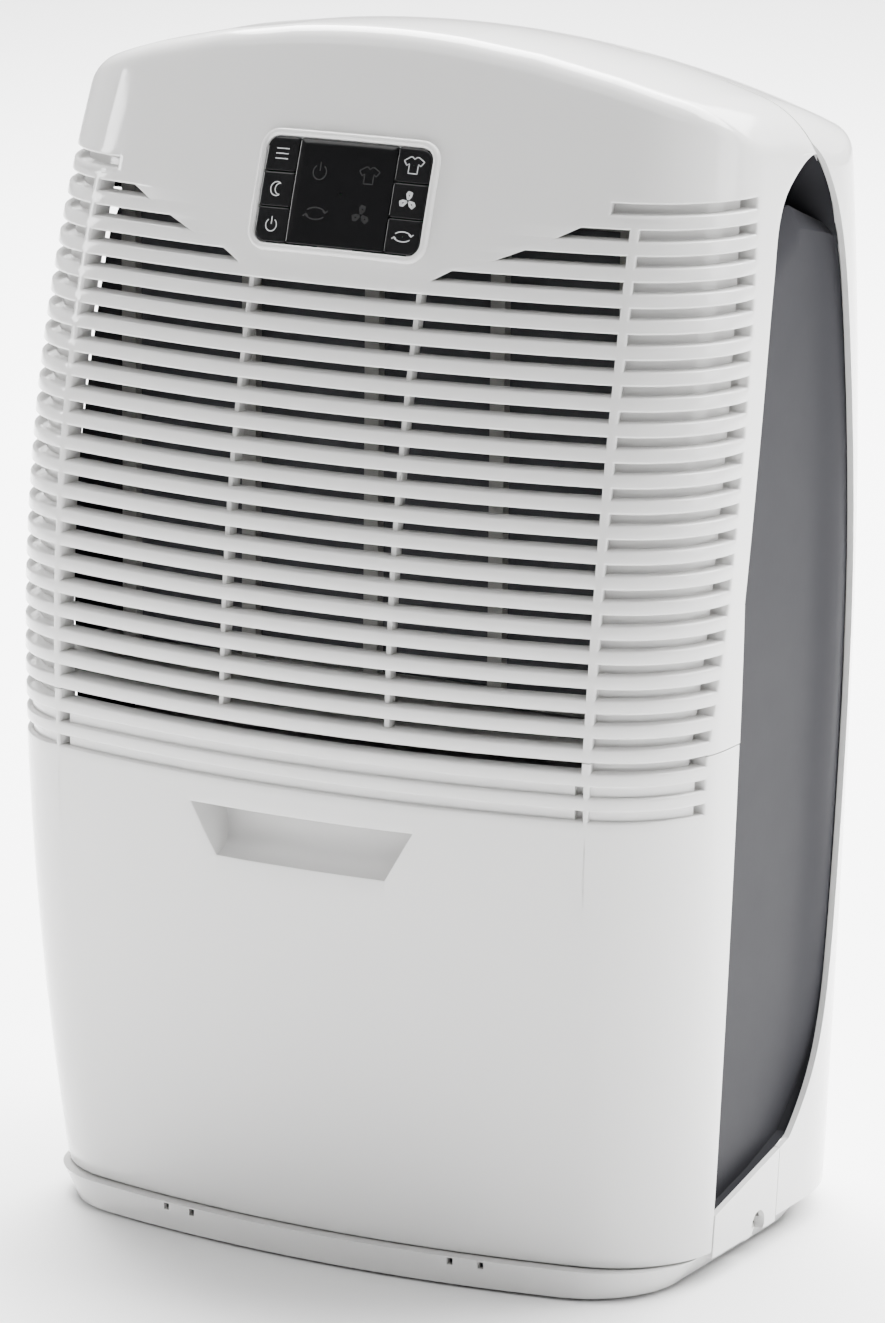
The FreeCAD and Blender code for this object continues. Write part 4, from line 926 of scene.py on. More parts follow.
@dataclass(frozen=True)
class Louvres:
    """The pattern of slots and corner grooves."""

    split: float = 239.68
    pitch: float = 10.44
    height: float = 4.5
    top_row: int = 22
    end_x: float = 131.2
    end_bow: float = 2.4
    end_wall: float = 4.0
    rib_x: float = 41.1
    rib_width: float = 2.5
    rib_depth: float = 3.6
    depth: float = 9.0
    groove: float = 6.3
    pit: float = 9.5
    pit_length: float = 4.2
    round: float = 1.0
    groove_end: float = -76.3
    groove_rise: float = 2.02
    panel_half: float = 43.5
    panel_gap: float = 1.5
    top_start: float = 70.0
    climb: tuple[tuple[int, float, float], ...] = ((19, 4.0, 12.1), (20, 31.9, 43.0), (21, 56.5, 65.5))

    def z(self, row: float) -> float:
        """Middle height of a row."""
        return self.split + row * self.pitch

    def row(self, z: float) -> float:
        """Row, with its fraction, at a height."""
        return (z - self.split) / self.pitch

    def end(self, z: float) -> float:
        """Where the open slot ends at a height."""
        middle = (self.top_row + 1) / 2
        return self.end_x - self.end_bow * ((self.row(z) - middle) / middle) ** 2

    def groove_back(self, z: float) -> float:
        """How far back the corner groove runs at a height."""
        return self.groove_end + self.groove_rise * max(0.0, self.row(z))

    def starts(self) -> list[Pair]:
        """(height, x) of the inner ends of the rows that climb past the control panel.

        Returns:
            The pairs, from the foot up.
        """
        edge = self.panel_half
        half = self.height / 2
        table = [(self.z(self.climb[0][0] - 1) + half, edge + self.panel_gap)]
        for row, low, high in self.climb:
            table.append((self.z(row) - half, edge + low))
            table.append((self.z(row) + half, edge + high))
        table.append((self.z(self.top_row) - half, edge + self.top_start))
        return table

    def start(self, z: float) -> float:
        """Inner end of the slot at a height.

        Args:
            z: height.

        Returns:
            The place across.
        """
        table = self.starts()
        if z <= table[0][0]:
            return table[0][1]
        for (z0, x0), (z1, x1) in zip(table, table[1:]):
            if z <= z1:
                return x0 + (x1 - x0) * (z - z0) / (z1 - z0)
        return table[-1][1]

    def slot(self, row: int) -> list[Level]:
        """Heights up through one slot, its rounded edges and the middle of the bar over it.

        Args:
            row: the row.

        Returns:
            The levels, from the foot up.
        """
        low = self.z(row) - self.height / 2
        high = self.z(row) + self.height / 2
        arcs = arc_steps(self.round)
        made = [Level(low - before, deep, row) for before, deep in arcs]
        made += [Level(z, OPEN, row) for z in (low, self.z(row), high)]
        made += [Level(high + before, deep, row) for before, deep in reversed(arcs)]
        made.append(Level(high + (self.pitch - self.height) / 2, 0.0, row))
        return made


@dataclass
class Columns:
    """The face's columns near the fold: their paths, where they meet the top, and the fold's start."""

    runs: list[Callable[[float], float]]
    meets: list[float]
    backs: list[float]
    plain: int


@dataclass
class FrontShell:
    """Front cover: louvred face, round corners and the front half of the top."""

    form: Form
    gap: SideOpening
    louvres: Louvres
    seam: float = 25.35
    wall: float = 3.0
    edge_round: float = 1.1
    top_start: float = 475.0
    panel_z: float = 467.0
    panel_half_w: float = 42.1
    panel_half_h: float = 24.8
    panel_round: float = 7.8
    inner_columns: int = 14
    slot_columns: int = 20
    groove_columns: int = 16
    edge_columns: int = 9
    rim_steps: int = 4
    field_steps: int = 16
    fold_steps: int = 7
    top_steps: int = 20
    rib_edge: float = 0.5
    rib_corner: float = 0.15
    topmost_end: float = 73.0
    seam_crowding: float = 0.92
    return_steps: tuple[float, ...] = (0.0, 2.5, 12.0)

    def levels(self) -> list[Level]:
        """All heights from the split to the plain field above the grooves.

        Returns:
            The levels, from the foot up.
        """
        lv = self.louvres
        below_upper_edge = len(arc_steps(lv.round)) + 2
        made = lv.slot(0)[below_upper_edge:]
        for row in range(1, lv.top_row):
            made += lv.slot(row)
        made += lv.slot(lv.top_row)[:-1]
        made.append(Level(self.top_start, 0.0, lv.top_row))
        return made

    def stations(self, level: Level) -> list[Pair]:
        """Plan lengths at one height, each with the depth that the relief may have there.

        Args:
            level: the height.

        Returns:
            Pairs of (plan length, depth).
        """
        lv = self.louvres
        form = self.form
        z = level.z
        row = level.row
        climbing = row >= lv.climb[0][0]
        topmost = row >= lv.top_row
        opened = 0.0 if climbing else OPEN
        arcs = arc_steps(lv.round)

        def at(x: float) -> float:
            """Plan length to a place on the front."""
            return form.length_at_x(x, z)

        rib_in = lv.rib_x - lv.rib_width / 2
        rib_out = lv.rib_x + lv.rib_width / 2
        rib = 0.0 if climbing else lv.rib_depth
        made: list[Pair] = []
        for i in range(self.inner_columns + 1):
            made.append((at(rib_in * i / self.inner_columns), opened))
        soft = self.rib_edge
        near = self.rib_corner
        for x, cap in ((rib_in, rib + soft), (rib_in + near, rib + near), (rib_in + soft, rib),
                       (rib_out - soft, rib), (rib_out - near, rib + near), (rib_out, rib + soft)):
            made.append((at(x), min(cap, opened)))
        made.append((at(rib_out), opened))
        begin = lv.start(z)
        made.append((at((rib_out + begin) / 2 - 0.3), opened))
        for before, deep in arcs:
            cap = 0.0 if topmost else (deep if climbing else OPEN)
            made.append((at(begin - before), cap))
        middle_cap = 0.0 if topmost else OPEN
        made.append((at(begin), middle_cap))
        finish = lv.end(z) if not topmost else lv.panel_half + self.topmost_end
        for i in range(1, self.slot_columns):
            made.append((at(begin + (finish - begin) * i / self.slot_columns), middle_cap))
        made.append((at(finish), middle_cap))
        for before, deep in reversed(arcs):
            made.append((at(finish + before), 0.0 if topmost else deep))
        groove = at(finish + lv.end_wall)
        for before, deep in arcs:
            made.append((groove - before, deep))
        made.append((groove, lv.groove))
        back = form.length_at_y(lv.groove_back(z), z)
        pit = back - lv.pit_length
        for i in range(1, self.groove_columns):
            made.append((groove + (pit - groove) * i / self.groove_columns, lv.groove))
        made.append((pit, lv.groove))
        made.append((pit, lv.pit))
        made.append((back, lv.pit))
        for before, deep in reversed(arcs):
            made.append((back + before, deep))
        edge = form.length_at_y(self.gap.front_edge(z), z)
        after = back + arcs[0][0]
        for i in range(1, self.edge_columns):
            made.append((after + (edge - self.edge_round - after) * i / self.edge_columns, 0.0))
        return made

    def rim(self, edge: float) -> list[Pair]:
        """Rounded edge and its return, at the opening."""
        made = [(edge - before, deep) for before, deep in arc_steps(self.edge_round, self.rim_steps)]
        return made + [(edge - back, self.wall) for back in self.return_steps]

    def in_panel(self, point: Vector) -> bool:
        """Whether a point of the skin lies in the hole for the control panel.

        Args:
            point: the point.

        Returns:
            True inside the hole.
        """
        form = self.form
        lean = math.atan((form.face_y(self.panel_z + 1) - form.face_y(self.panel_z - 1)) / 2)
        back = point.y - form.face_y(self.panel_z)
        up = (point.z - self.panel_z) * math.cos(lean) + back * math.sin(lean)
        dx = max(0.0, abs(point.x) - self.panel_half_w + self.panel_round)
        dy = max(0.0, abs(up) - self.panel_half_h + self.panel_round)
        return math.hypot(dx, dy) < self.panel_round and abs(point.x) < self.panel_half_w

    def build(self) -> Shape:
        """Mesh of the right half, mirrored.

        Returns:
            The mesh.
        """
        form = self.form
        rows: list[list[Vector]] = []
        open_cell: list[list[bool]] = []
        for level in self.levels():
            row = []
            flags = []
            stations = self.stations(level)
            for length, cap in stations:
                inset = min(level.limit, cap)
                flags.append(inset >= OPEN)
                row.append(form.skin(length, level.z, min(inset, self.louvres.depth)))
            edge = form.length_at_y(self.gap.front_edge(level.z), level.z)
            for length, deep in self.rim(edge):
                row.append(form.skin(length, level.z, deep))
                flags.append(False)
            rows.append(row)
            open_cell.append(flags)
        foot = self.stations(self.levels()[0]) + self.rim(form.length_at_y(self.gap.front, rows[0][0].z))
        rows[0] = [form.skin(*self._under(length, cap)) for length, cap in foot]
        field_rows, columns = self.field_rows(rows[-1])
        crown = self.crown_rows(field_rows[-1], columns)
        rows = rows + field_rows[1:]
        open_cell += [[False] * len(rows[0])] * (len(field_rows) - 1)

        def under_panel(grid: list[list[Vector]], i: int, j: int) -> bool:
            """Whether a cell lies in the control panel's hole."""
            return all(self.in_panel(p) for p in grid[i][j:j + 2] + grid[i + 1][j:j + 2])

        def skip(i: int, j: int) -> bool:
            """Whether a cell of the face is left open."""
            slot = i > 0 and all(open_cell[a][b] for a in (i, i + 1) for b in (j, j + 1))
            return slot or under_panel(rows, i, j)

        shape = Shape()
        shape.sheet(rows, skip)
        shape.sheet(crown, lambda i, j: under_panel(crown, i, j))
        return shape.mirrored()

    def _under(self, length: float, cap: float) -> tuple[float, float, float]:
        """A point of the lower edge's underside."""
        lv = self.louvres
        return length, lv.z(0) + lv.height / 2, lv.depth if cap > 0 else self.wall

    def field_rows(self, last: list[Vector]) -> tuple[list[list[Vector]], Columns]:
        """Plain rows from above the grooves up to the fold, and round it.

        Args:
            last: the last row below the field.

        Returns:
            The rows, and the columns that the fold follows.
        """
        form = self.form
        base = self.stations(Level(self.top_start, 0.0, self.louvres.top_row))
        edge0 = form.length_at_y(self.gap.front_edge(self.top_start), self.top_start)
        lengths = [s for s, _ in base] + [s for s, _ in self.rim(edge0)]
        deeps = [0.0] * len(base) + [d for _, d in self.rim(edge0)]
        fixed = len(base) - self.edge_columns

        def length_of(column: int) -> Callable[[float], float]:
            """The path of one column.

            Args:
                column: its number.

            Returns:
                Its plan length at a height.
            """

            def run(z: float) -> float:
                """The column's plan length at a height.

                Args:
                    z: the height.

                Returns:
                    The plan length.
                """
                edge = form.length_at_y(min(self.seam, self.gap.front_edge(z)), z)
                start = lengths[fixed]
                if column <= fixed:
                    return lengths[column]
                if column < len(base):
                    return start + (edge - self.edge_round - start) * (column - fixed) / (len(base) - fixed)
                return edge + lengths[column] - edge0
            return run

        runs = [length_of(c) for c in range(len(lengths))]
        meets = [form.wall_top(run, self.top_start) for run in runs]
        backs = [self._setback(run, meet) for run, meet in zip(runs, meets)]
        made = [last]
        for i in range(1, self.field_steps + 1):
            row = []
            for run, meet, back, deep in zip(runs, meets, backs, deeps):
                z = self.top_start + (meet - back - self.top_start) * i / self.field_steps
                row.append(form.skin(run(z), z, deep))
            made.append(row)
        return made, Columns(runs, meets, backs, len(base))

    def _setback(self, run: Callable[[float], float], meet: float) -> float:
        """How far below the meeting line the fold begins.

        Args:
            run: the column's plan length at a height.
            meet: where the wall meets the top.

        Returns:
            The distance.
        """
        form = self.form
        low = form.skin(run(meet - 1), meet - 1)
        high = form.skin(run(meet), meet)
        up = (high - low).normalized()
        inward = form.skin(run(meet), meet, 2.0) - high
        inner = high + inward
        over = (Vector((inner.x, inner.y, form.top(inner.x, inner.y))) - high).normalized()
        turn = up.angle(over)
        return form.fold * math.tan(turn / 2)

    def crown_rows(self, start: list[Vector], columns: Columns) -> list[list[Vector]]:
        """Rows round the fold and over the top to the seam.

        Args:
            start: the last row of the field.
            columns: the face's columns near the fold.

        Returns:
            The rows, from the fold to the seam.
        """
        form = self.form
        total = len(start)
        meets = [form.skin(run(meet), meet) for run, meet in zip(columns.runs, columns.meets)]
        lengths = [0.0]
        for a, b in zip(meets, meets[1:]):
            lengths.append(lengths[-1] + (b - a).length)
        last = columns.plain + self.rim_steps
        apex_x = meets[last].x
        targets = [self.seam_x(min(1.0, length / lengths[last]), apex_x) for length in lengths]
        rows = [list(start)]
        for i in range(1, self.fold_steps + 1):
            t = i / self.fold_steps
            rows.append([self._fold_point(start[c], meets[c], targets[c], columns.backs[c], t)
                         for c in range(total)])
        joint = rows[-1]
        for i in range(1, self.top_steps + 1):
            t = i / self.top_steps
            row = []
            for c in range(total):
                p = joint[c]
                x = p.x + (targets[c] - p.x) * t
                y = p.y + (self.seam - self.edge_round - p.y) * t
                row.append(Vector((x, y, form.top(x, y))))
            rows.append(row)
        ends = rows[-1]
        for before, deep in arc_steps(self.edge_round, self.rim_steps)[1:] + [(0.0, self.wall)]:
            y = self.seam - before
            rows.append([Vector((p.x, y, form.top(p.x, y) - deep)) for p in ends])
        return rows

    def seam_x(self, share: float, apex: float) -> float:
        """Where a line over the top meets the seam."""
        return apex * share ** self.seam_crowding

    def _fold_point(self, start: Vector, meet: Vector, target_x: float, back: float, t: float) -> Vector:
        """A point of the fold between the wall and the top.

        Args:
            start: the fold's first point in this column.
            meet: the point where the wall meets the top.
            target_x: where the column meets the seam, across.
            back: how far from the meeting line the fold begins.
            t: share of the way round the fold.

        Returns:
            The point.
        """
        flow = Vector((target_x - meet.x, self.seam - meet.y))
        reach = min(back, flow.length * 0.9)
        if flow.length > TINY:
            flow = flow.normalized()
        size = reach
        for _ in range(4):
            x, y = meet.x + flow.x * size, meet.y + flow.y * size
            far = Vector((x, y, self.form.top(x, y)))
            size *= reach / max(TINY, (far - meet).length)
        turned = (meet - start).length > TINY and (far - meet).length > TINY
        weight = math.cos((meet - start).angle(far - meet) / 2) if turned else 1.0
        near, middle, end = (1 - t) ** 2, 2 * t * (1 - t) * weight, t * t
        return (start * near + meet * middle + far * end) / (near + middle + end)


class Zone(Enum):
    """The zones of the tank's front, from its foot up."""

    RIM = "rim"
    PLAIN = "plain"
    GRIP = "grip"
    GROOVE = "groove"
    SPLIT = "split"
    LID = "lid"


@dataclass
class TankSkin:
    """Front of the slide-out tank with its finger recess and the last two grooves."""

    form: Form
    gap: SideOpening
    louvres: Louvres
    low: float = 14.0
    top: float = 241.45
    wall: float = 3.0
    edge_round: float = 1.1
    grip_top: float = 203.8
    grip_foot: float = 181.6
    grip_top_x: float = 54.6
    grip_foot_x: float = 41.5
    grip_depth: float = 21.0
    groove: float = 2.6
    pit: float = 7.0
    pit_from: float = 125.6
    pit_to: float = 129.6
    lip_round: float = 0.7
    grip_steps: int = 14
    plain_steps: int = 15
    grip_columns: int = 14
    face_columns: int = 12
    groove_columns: int = 14
    edge_columns: int = 6

    def levels(self) -> list[tuple[Level, Zone]]:
        """Heights with the zone each belongs to.

        Returns:
            The levels, from the foot up.
        """
        lv = self.louvres
        made: list[tuple[Level, Zone]] = []
        made.append((Level(self.low, self.wall, 0), Zone.RIM))
        for before, deep in reversed(arc_steps(self.edge_round)):
            made.append((Level(self.low + before, deep, 0), Zone.RIM))
        for i in range(1, self.plain_steps):
            z = self.low + 2 + (self.grip_foot - 3 - self.low) * i / self.plain_steps
            made.append((Level(z, 0.0, 0), Zone.PLAIN))
        made.append((Level(self.grip_foot - 1.0, 0.0, 0), Zone.GRIP))
        made.append((Level(self.grip_foot, 0.25, 0), Zone.GRIP))
        for i in range(1, self.grip_steps + 1):
            t = i / self.grip_steps
            z = self.grip_foot + (self.grip_top - self.grip_foot) * t
            made.append((Level(z, self.grip_profile(t), 0), Zone.GRIP))
        for before, deep in reversed(arc_steps(self.lip_round)):
            made.append((Level(self.grip_top + before, deep, 0), Zone.GRIP))
        made.append((Level(self.grip_top + 4.0, 0.0, 0), Zone.PLAIN))
        made.append((Level(self.grip_top + 8.0, 0.0, 0), Zone.PLAIN))
        for row in (-2, -1):
            made += [(level, Zone.GROOVE) for level in lv.slot(row)]
        low = lv.z(0) - lv.height / 2
        for before, deep in arc_steps(lv.round):
            made.append((Level(low - before, deep, 0), Zone.SPLIT))
        made.append((Level(low, OPEN, 0), Zone.SPLIT))
        made.append((Level(self.top - 0.6, OPEN, 0), Zone.SPLIT))
        made.append((Level(self.top, OPEN, 0), Zone.SPLIT))
        made.append((Level(self.top, OPEN + 1, 0), Zone.LID))
        return made

    def grip_profile(self, t: float) -> float:
        """Depth of the finger recess from its foot (0) to its top (1)."""
        return self.grip_depth * (1 - (1 - t) ** 2.1) ** 0.62

    def stations(self, level: Level, zone: Zone) -> list[Pair]:
        """Plan lengths at one height, each with the depth allowed there.

        Args:
            level: the height.
            zone: its zone.

        Returns:
            Pairs of (plan length, depth).
        """
        lv = self.louvres
        form = self.form
        z = level.z
        arcs = arc_steps(lv.round)

        def at(x: float) -> float:
            """Plan length to a place on the front."""
            return form.length_at_x(x, z)

        grooved = zone is Zone.GROOVE
        split = zone in (Zone.SPLIT, Zone.LID)
        share = max(0.0, min(1.0, (z - self.grip_foot) / (self.grip_top - self.grip_foot)))
        grip = self.grip_foot_x + (self.grip_top_x - self.grip_foot_x) * share
        inner = {Zone.GRIP: OPEN, Zone.GROOVE: self.groove, Zone.SPLIT: OPEN, Zone.LID: OPEN}.get(zone, 0.0)
        outer = 0.0 if zone is Zone.GRIP else inner
        made: list[Pair] = []
        for i in range(self.grip_columns):
            made.append((at((grip - 1.0) * i / self.grip_columns), inner))
        made.append((at(grip - 1.0), inner))
        made.append((at(grip), inner))
        for before, deep in reversed(arc_steps(self.lip_round)):
            made.append((at(grip + before), deep if zone is Zone.GRIP else outer))
        for i in range(1, self.face_columns):
            across = (self.pit_from - grip - self.lip_round) * i / self.face_columns
            made.append((at(grip + self.lip_round + across), outer))
        made.append((at(self.pit_from), outer))
        made.append((at(self.pit_from), self.pit if grooved else outer))
        finish = lv.end(z) if split else self.pit_to
        made.append((at(finish), self.pit if grooved else outer))
        for before, deep in reversed(arcs):
            made.append((at(finish + before), deep if grooved or split else 0.0))
        groove = at(lv.end(z) + lv.end_wall)
        cut = lv.groove if split else (self.groove if grooved else 0.0)
        for before, deep in arcs:
            made.append((groove - before, min(deep, cut)))
        made.append((groove, cut))
        back = form.length_at_y(lv.groove_back(z), z)
        pit = back - lv.pit_length
        for i in range(1, self.groove_columns):
            made.append((groove + (pit - groove) * i / self.groove_columns, cut))
        made.append((pit, cut))
        made.append((pit, lv.pit if grooved or split else 0.0))
        made.append((back, lv.pit if grooved or split else 0.0))
        for before, deep in reversed(arcs):
            made.append((back + before, deep if grooved or split else 0.0))
        edge = form.length_at_y(self.gap.front - 0.5, z)
        after = back + arcs[0][0]
        for i in range(1, self.edge_columns):
            made.append((after + (edge - self.edge_round - after) * i / self.edge_columns, 0.0))
        return made

    def build(self) -> Shape:
        """Mesh of both halves.

        Returns:
            The mesh.
        """
        form = self.form
        rows = []
        flags = []
        for level, zone in self.levels():
            row = []
            flag = []
            edge = form.length_at_y(self.gap.front - 0.5, level.z)
            rim = [(edge - before, deep) for before, deep in arc_steps(self.edge_round, 4)]
            rim += [(edge, self.wall), (edge - 10.0, self.wall)]
            reach = self.grip_depth if zone is Zone.GRIP else self.louvres.depth
            low_edge = level.limit if zone is Zone.RIM else 0.0
            for length, cap in self.stations(level, zone):
                inset = max(low_edge, cap) if zone is Zone.RIM else min(level.limit, cap)
                if zone is Zone.LID:
                    inset = cap + self.wall
                flag.append(zone in (Zone.SPLIT, Zone.LID) and inset >= OPEN)
                row.append(form.skin(length, level.z, min(inset, reach)))
            for length, deep in rim:
                flag.append(False)
                row.append(form.skin(length, level.z, max(deep, low_edge)))
            rows.append(row)
            flags.append(flag)
        shape = Shape()
        shape.sheet(rows, lambda i, j: all(flags[a][b] for a in (i, i + 1) for b in (j, j + 1)))
        return shape.mirrored()


@dataclass
class SidePanel:
    """Grey panel behind a side opening: flared rear edge, slanted fold, and the hand grip above it."""

    form: Form
    gap: SideOpening
    inset: float = 8.2
    tuck: float = 3.3
    roll_y: float = 34.0
    roll_slope: float = 0.22
    roll_round: float = 8.0
    fold_inset: float = 12.4
    grip_inset: float = 29.0
    columns: int = 26
    rows: int = 44
    ridge: tuple[Pair, ...] = ((-60.0, 432.0), (19.0, 461.0), (70.0, 441.0))
    drop_front: float = 16.0
    drop_rear: float = 5.0

    def depth(self, y: float) -> float:
        """How far in the face lies at a place: flat, then flared outward towards the rear."""
        past = y - self.roll_y
        return max(self.tuck, self.inset - self.roll_slope * (past + math.hypot(past, self.roll_round)) / 2)

    def upper(self, y: float) -> float:
        """Height of the fold's upper line.

        Args:
            y: place front to back.

        Returns:
            The height.
        """
        for (y0, z0), (y1, z1) in zip(self.ridge, self.ridge[1:]):
            if y <= y1:
                return z0 + (z1 - z0) * (y - y0) / (y1 - y0)
        return self.ridge[-1][1]

    def lower(self, y: float) -> float:
        """Height of the fold's lower line."""
        share = max(0.0, min(1.0, (y + 15.0) / 60.0))
        return self.upper(y) - self.drop_front - (self.drop_rear - self.drop_front) * share

    def across(self, share: float, z: float) -> float:
        """A place between the opening's edges, tucked a little under both.

        Args:
            share: share of the way from front to rear.
            z: height.

        Returns:
            The place front to back.
        """
        front = self.gap.front_edge(z) - 2.0
        rear = max(self.gap.rear_edge(z), self.gap.rear_edge(min(z + 2.2, self.gap.apex_z))) + 1.0
        return front + (rear - front) * share

    def line(self, share: float, height_of: Callable[[float], float]) -> Pair:
        """Where a column meets a fold line.

        Args:
            share: the column, from 0 in front to 1 at the rear.
            height_of: the fold line's height at a place.

        Returns:
            The place (y, z).
        """
        z = 450.0
        for _ in range(12):
            z = (z + height_of(self.across(share, z))) / 2
        return self.across(share, z), z

    def spot(self, y: float, z: float, inset: float) -> Vector:
        """A point of the panel."""
        return self.form.skin(self.form.length_at_y(y, z), z, inset)

    def lipped(self, places: Sequence[Pair], inset_of: Callable[[float], float]) -> list[Vector]:
        """A row of points that ends in a lip under the rear cover's rim.

        Args:
            places: places (y, z) along the row.
            inset_of: how far in each place lies.

        Returns:
            The points.
        """
        row = [self.spot(y, z, inset_of(y)) for y, z in places]
        y, z = places[-1]
        return row + [self.spot(y + 0.6, z, (inset_of(y) + self.tuck) / 2), self.spot(y + 0.6, z, self.tuck)]

    def build(self) -> Shape:
        """Mesh of the right-hand panel.

        Returns:
            The mesh.
        """
        shares = [i / self.columns for i in range(self.columns + 1)]
        low_line = [self.line(share, self.lower) for share in shares]
        high_line = [self.line(share, self.upper) for share in shares]
        foot = self.gap.foot - 1.0
        rows = []
        for i in range(self.rows + 1):
            climb = i / self.rows
            places = []
            for share, (y_end, z_end) in zip(shares, low_line):
                z = foot + (z_end - foot) * climb
                places.append((self.across(share, z) if i < self.rows else y_end, z))
            rows.append(self.lipped(places, self.depth))
        shape = Shape()
        shape.sheet(rows)
        fold = self.fold_inset - self.inset
        upper_edge = self.lipped(high_line, lambda y: self.depth(y) + fold)
        shape.sheet([self.lipped(low_line, self.depth), upper_edge])
        lip = upper_edge[:-2]
        shelf = [self.spot(y, z, self.grip_inset) for y, z in high_line]
        shape.sheet([lip, shelf])
        rim = self.rim(high_line[0], high_line[-1])
        wall_top = [self.spot(y, z, self.grip_inset) for y, z in rim]
        shape.sheet([shelf, wall_top])
        shape.sheet([wall_top, [self.spot(y, z, self.tuck) for y, z in rim]])
        return shape

    def rim(self, front: Pair, rear: Pair) -> list[Pair]:
        """Edge of the opening above the fold, as many places as there are columns.

        Args:
            front: the rim's first place.
            rear: the rim's last place.

        Returns:
            The places in order.
        """
        half = self.columns // 2
        apex = self.gap.apex_z + 0.8
        made = []
        for i in range(half + 1):
            z = front[1] + (apex - front[1]) * math.sin(math.pi / 2 * i / half)
            made.append((min(self.gap.front_edge(z) - 1.0, self.gap.apex_y), z))
        for i in range(1, self.columns - half + 1):
            z = apex + (rear[1] - apex) * (1 - math.cos(math.pi / 2 * i / (self.columns - half)))
            made.append((self.gap.rear_edge(z) + 1.0, z))
        return made


# ---- control panel -------------------------------------------------------------------------
class Mark(Enum):
    """The printed marks: each key's name and half its mark's height."""

    POWER = ("power", 3.0)
    BOOST = ("boost", 3.0)
    MENU = ("menu", 2.9)
    CYCLE = ("cycle", 3.0)
    FAN = ("fan", 3.4)
    LAUNDRY = ("laundry", 3.5)


CORNERS = ((1, 1, 0), (-1, 1, 90), (-1, -1, 180), (1, -1, 270))


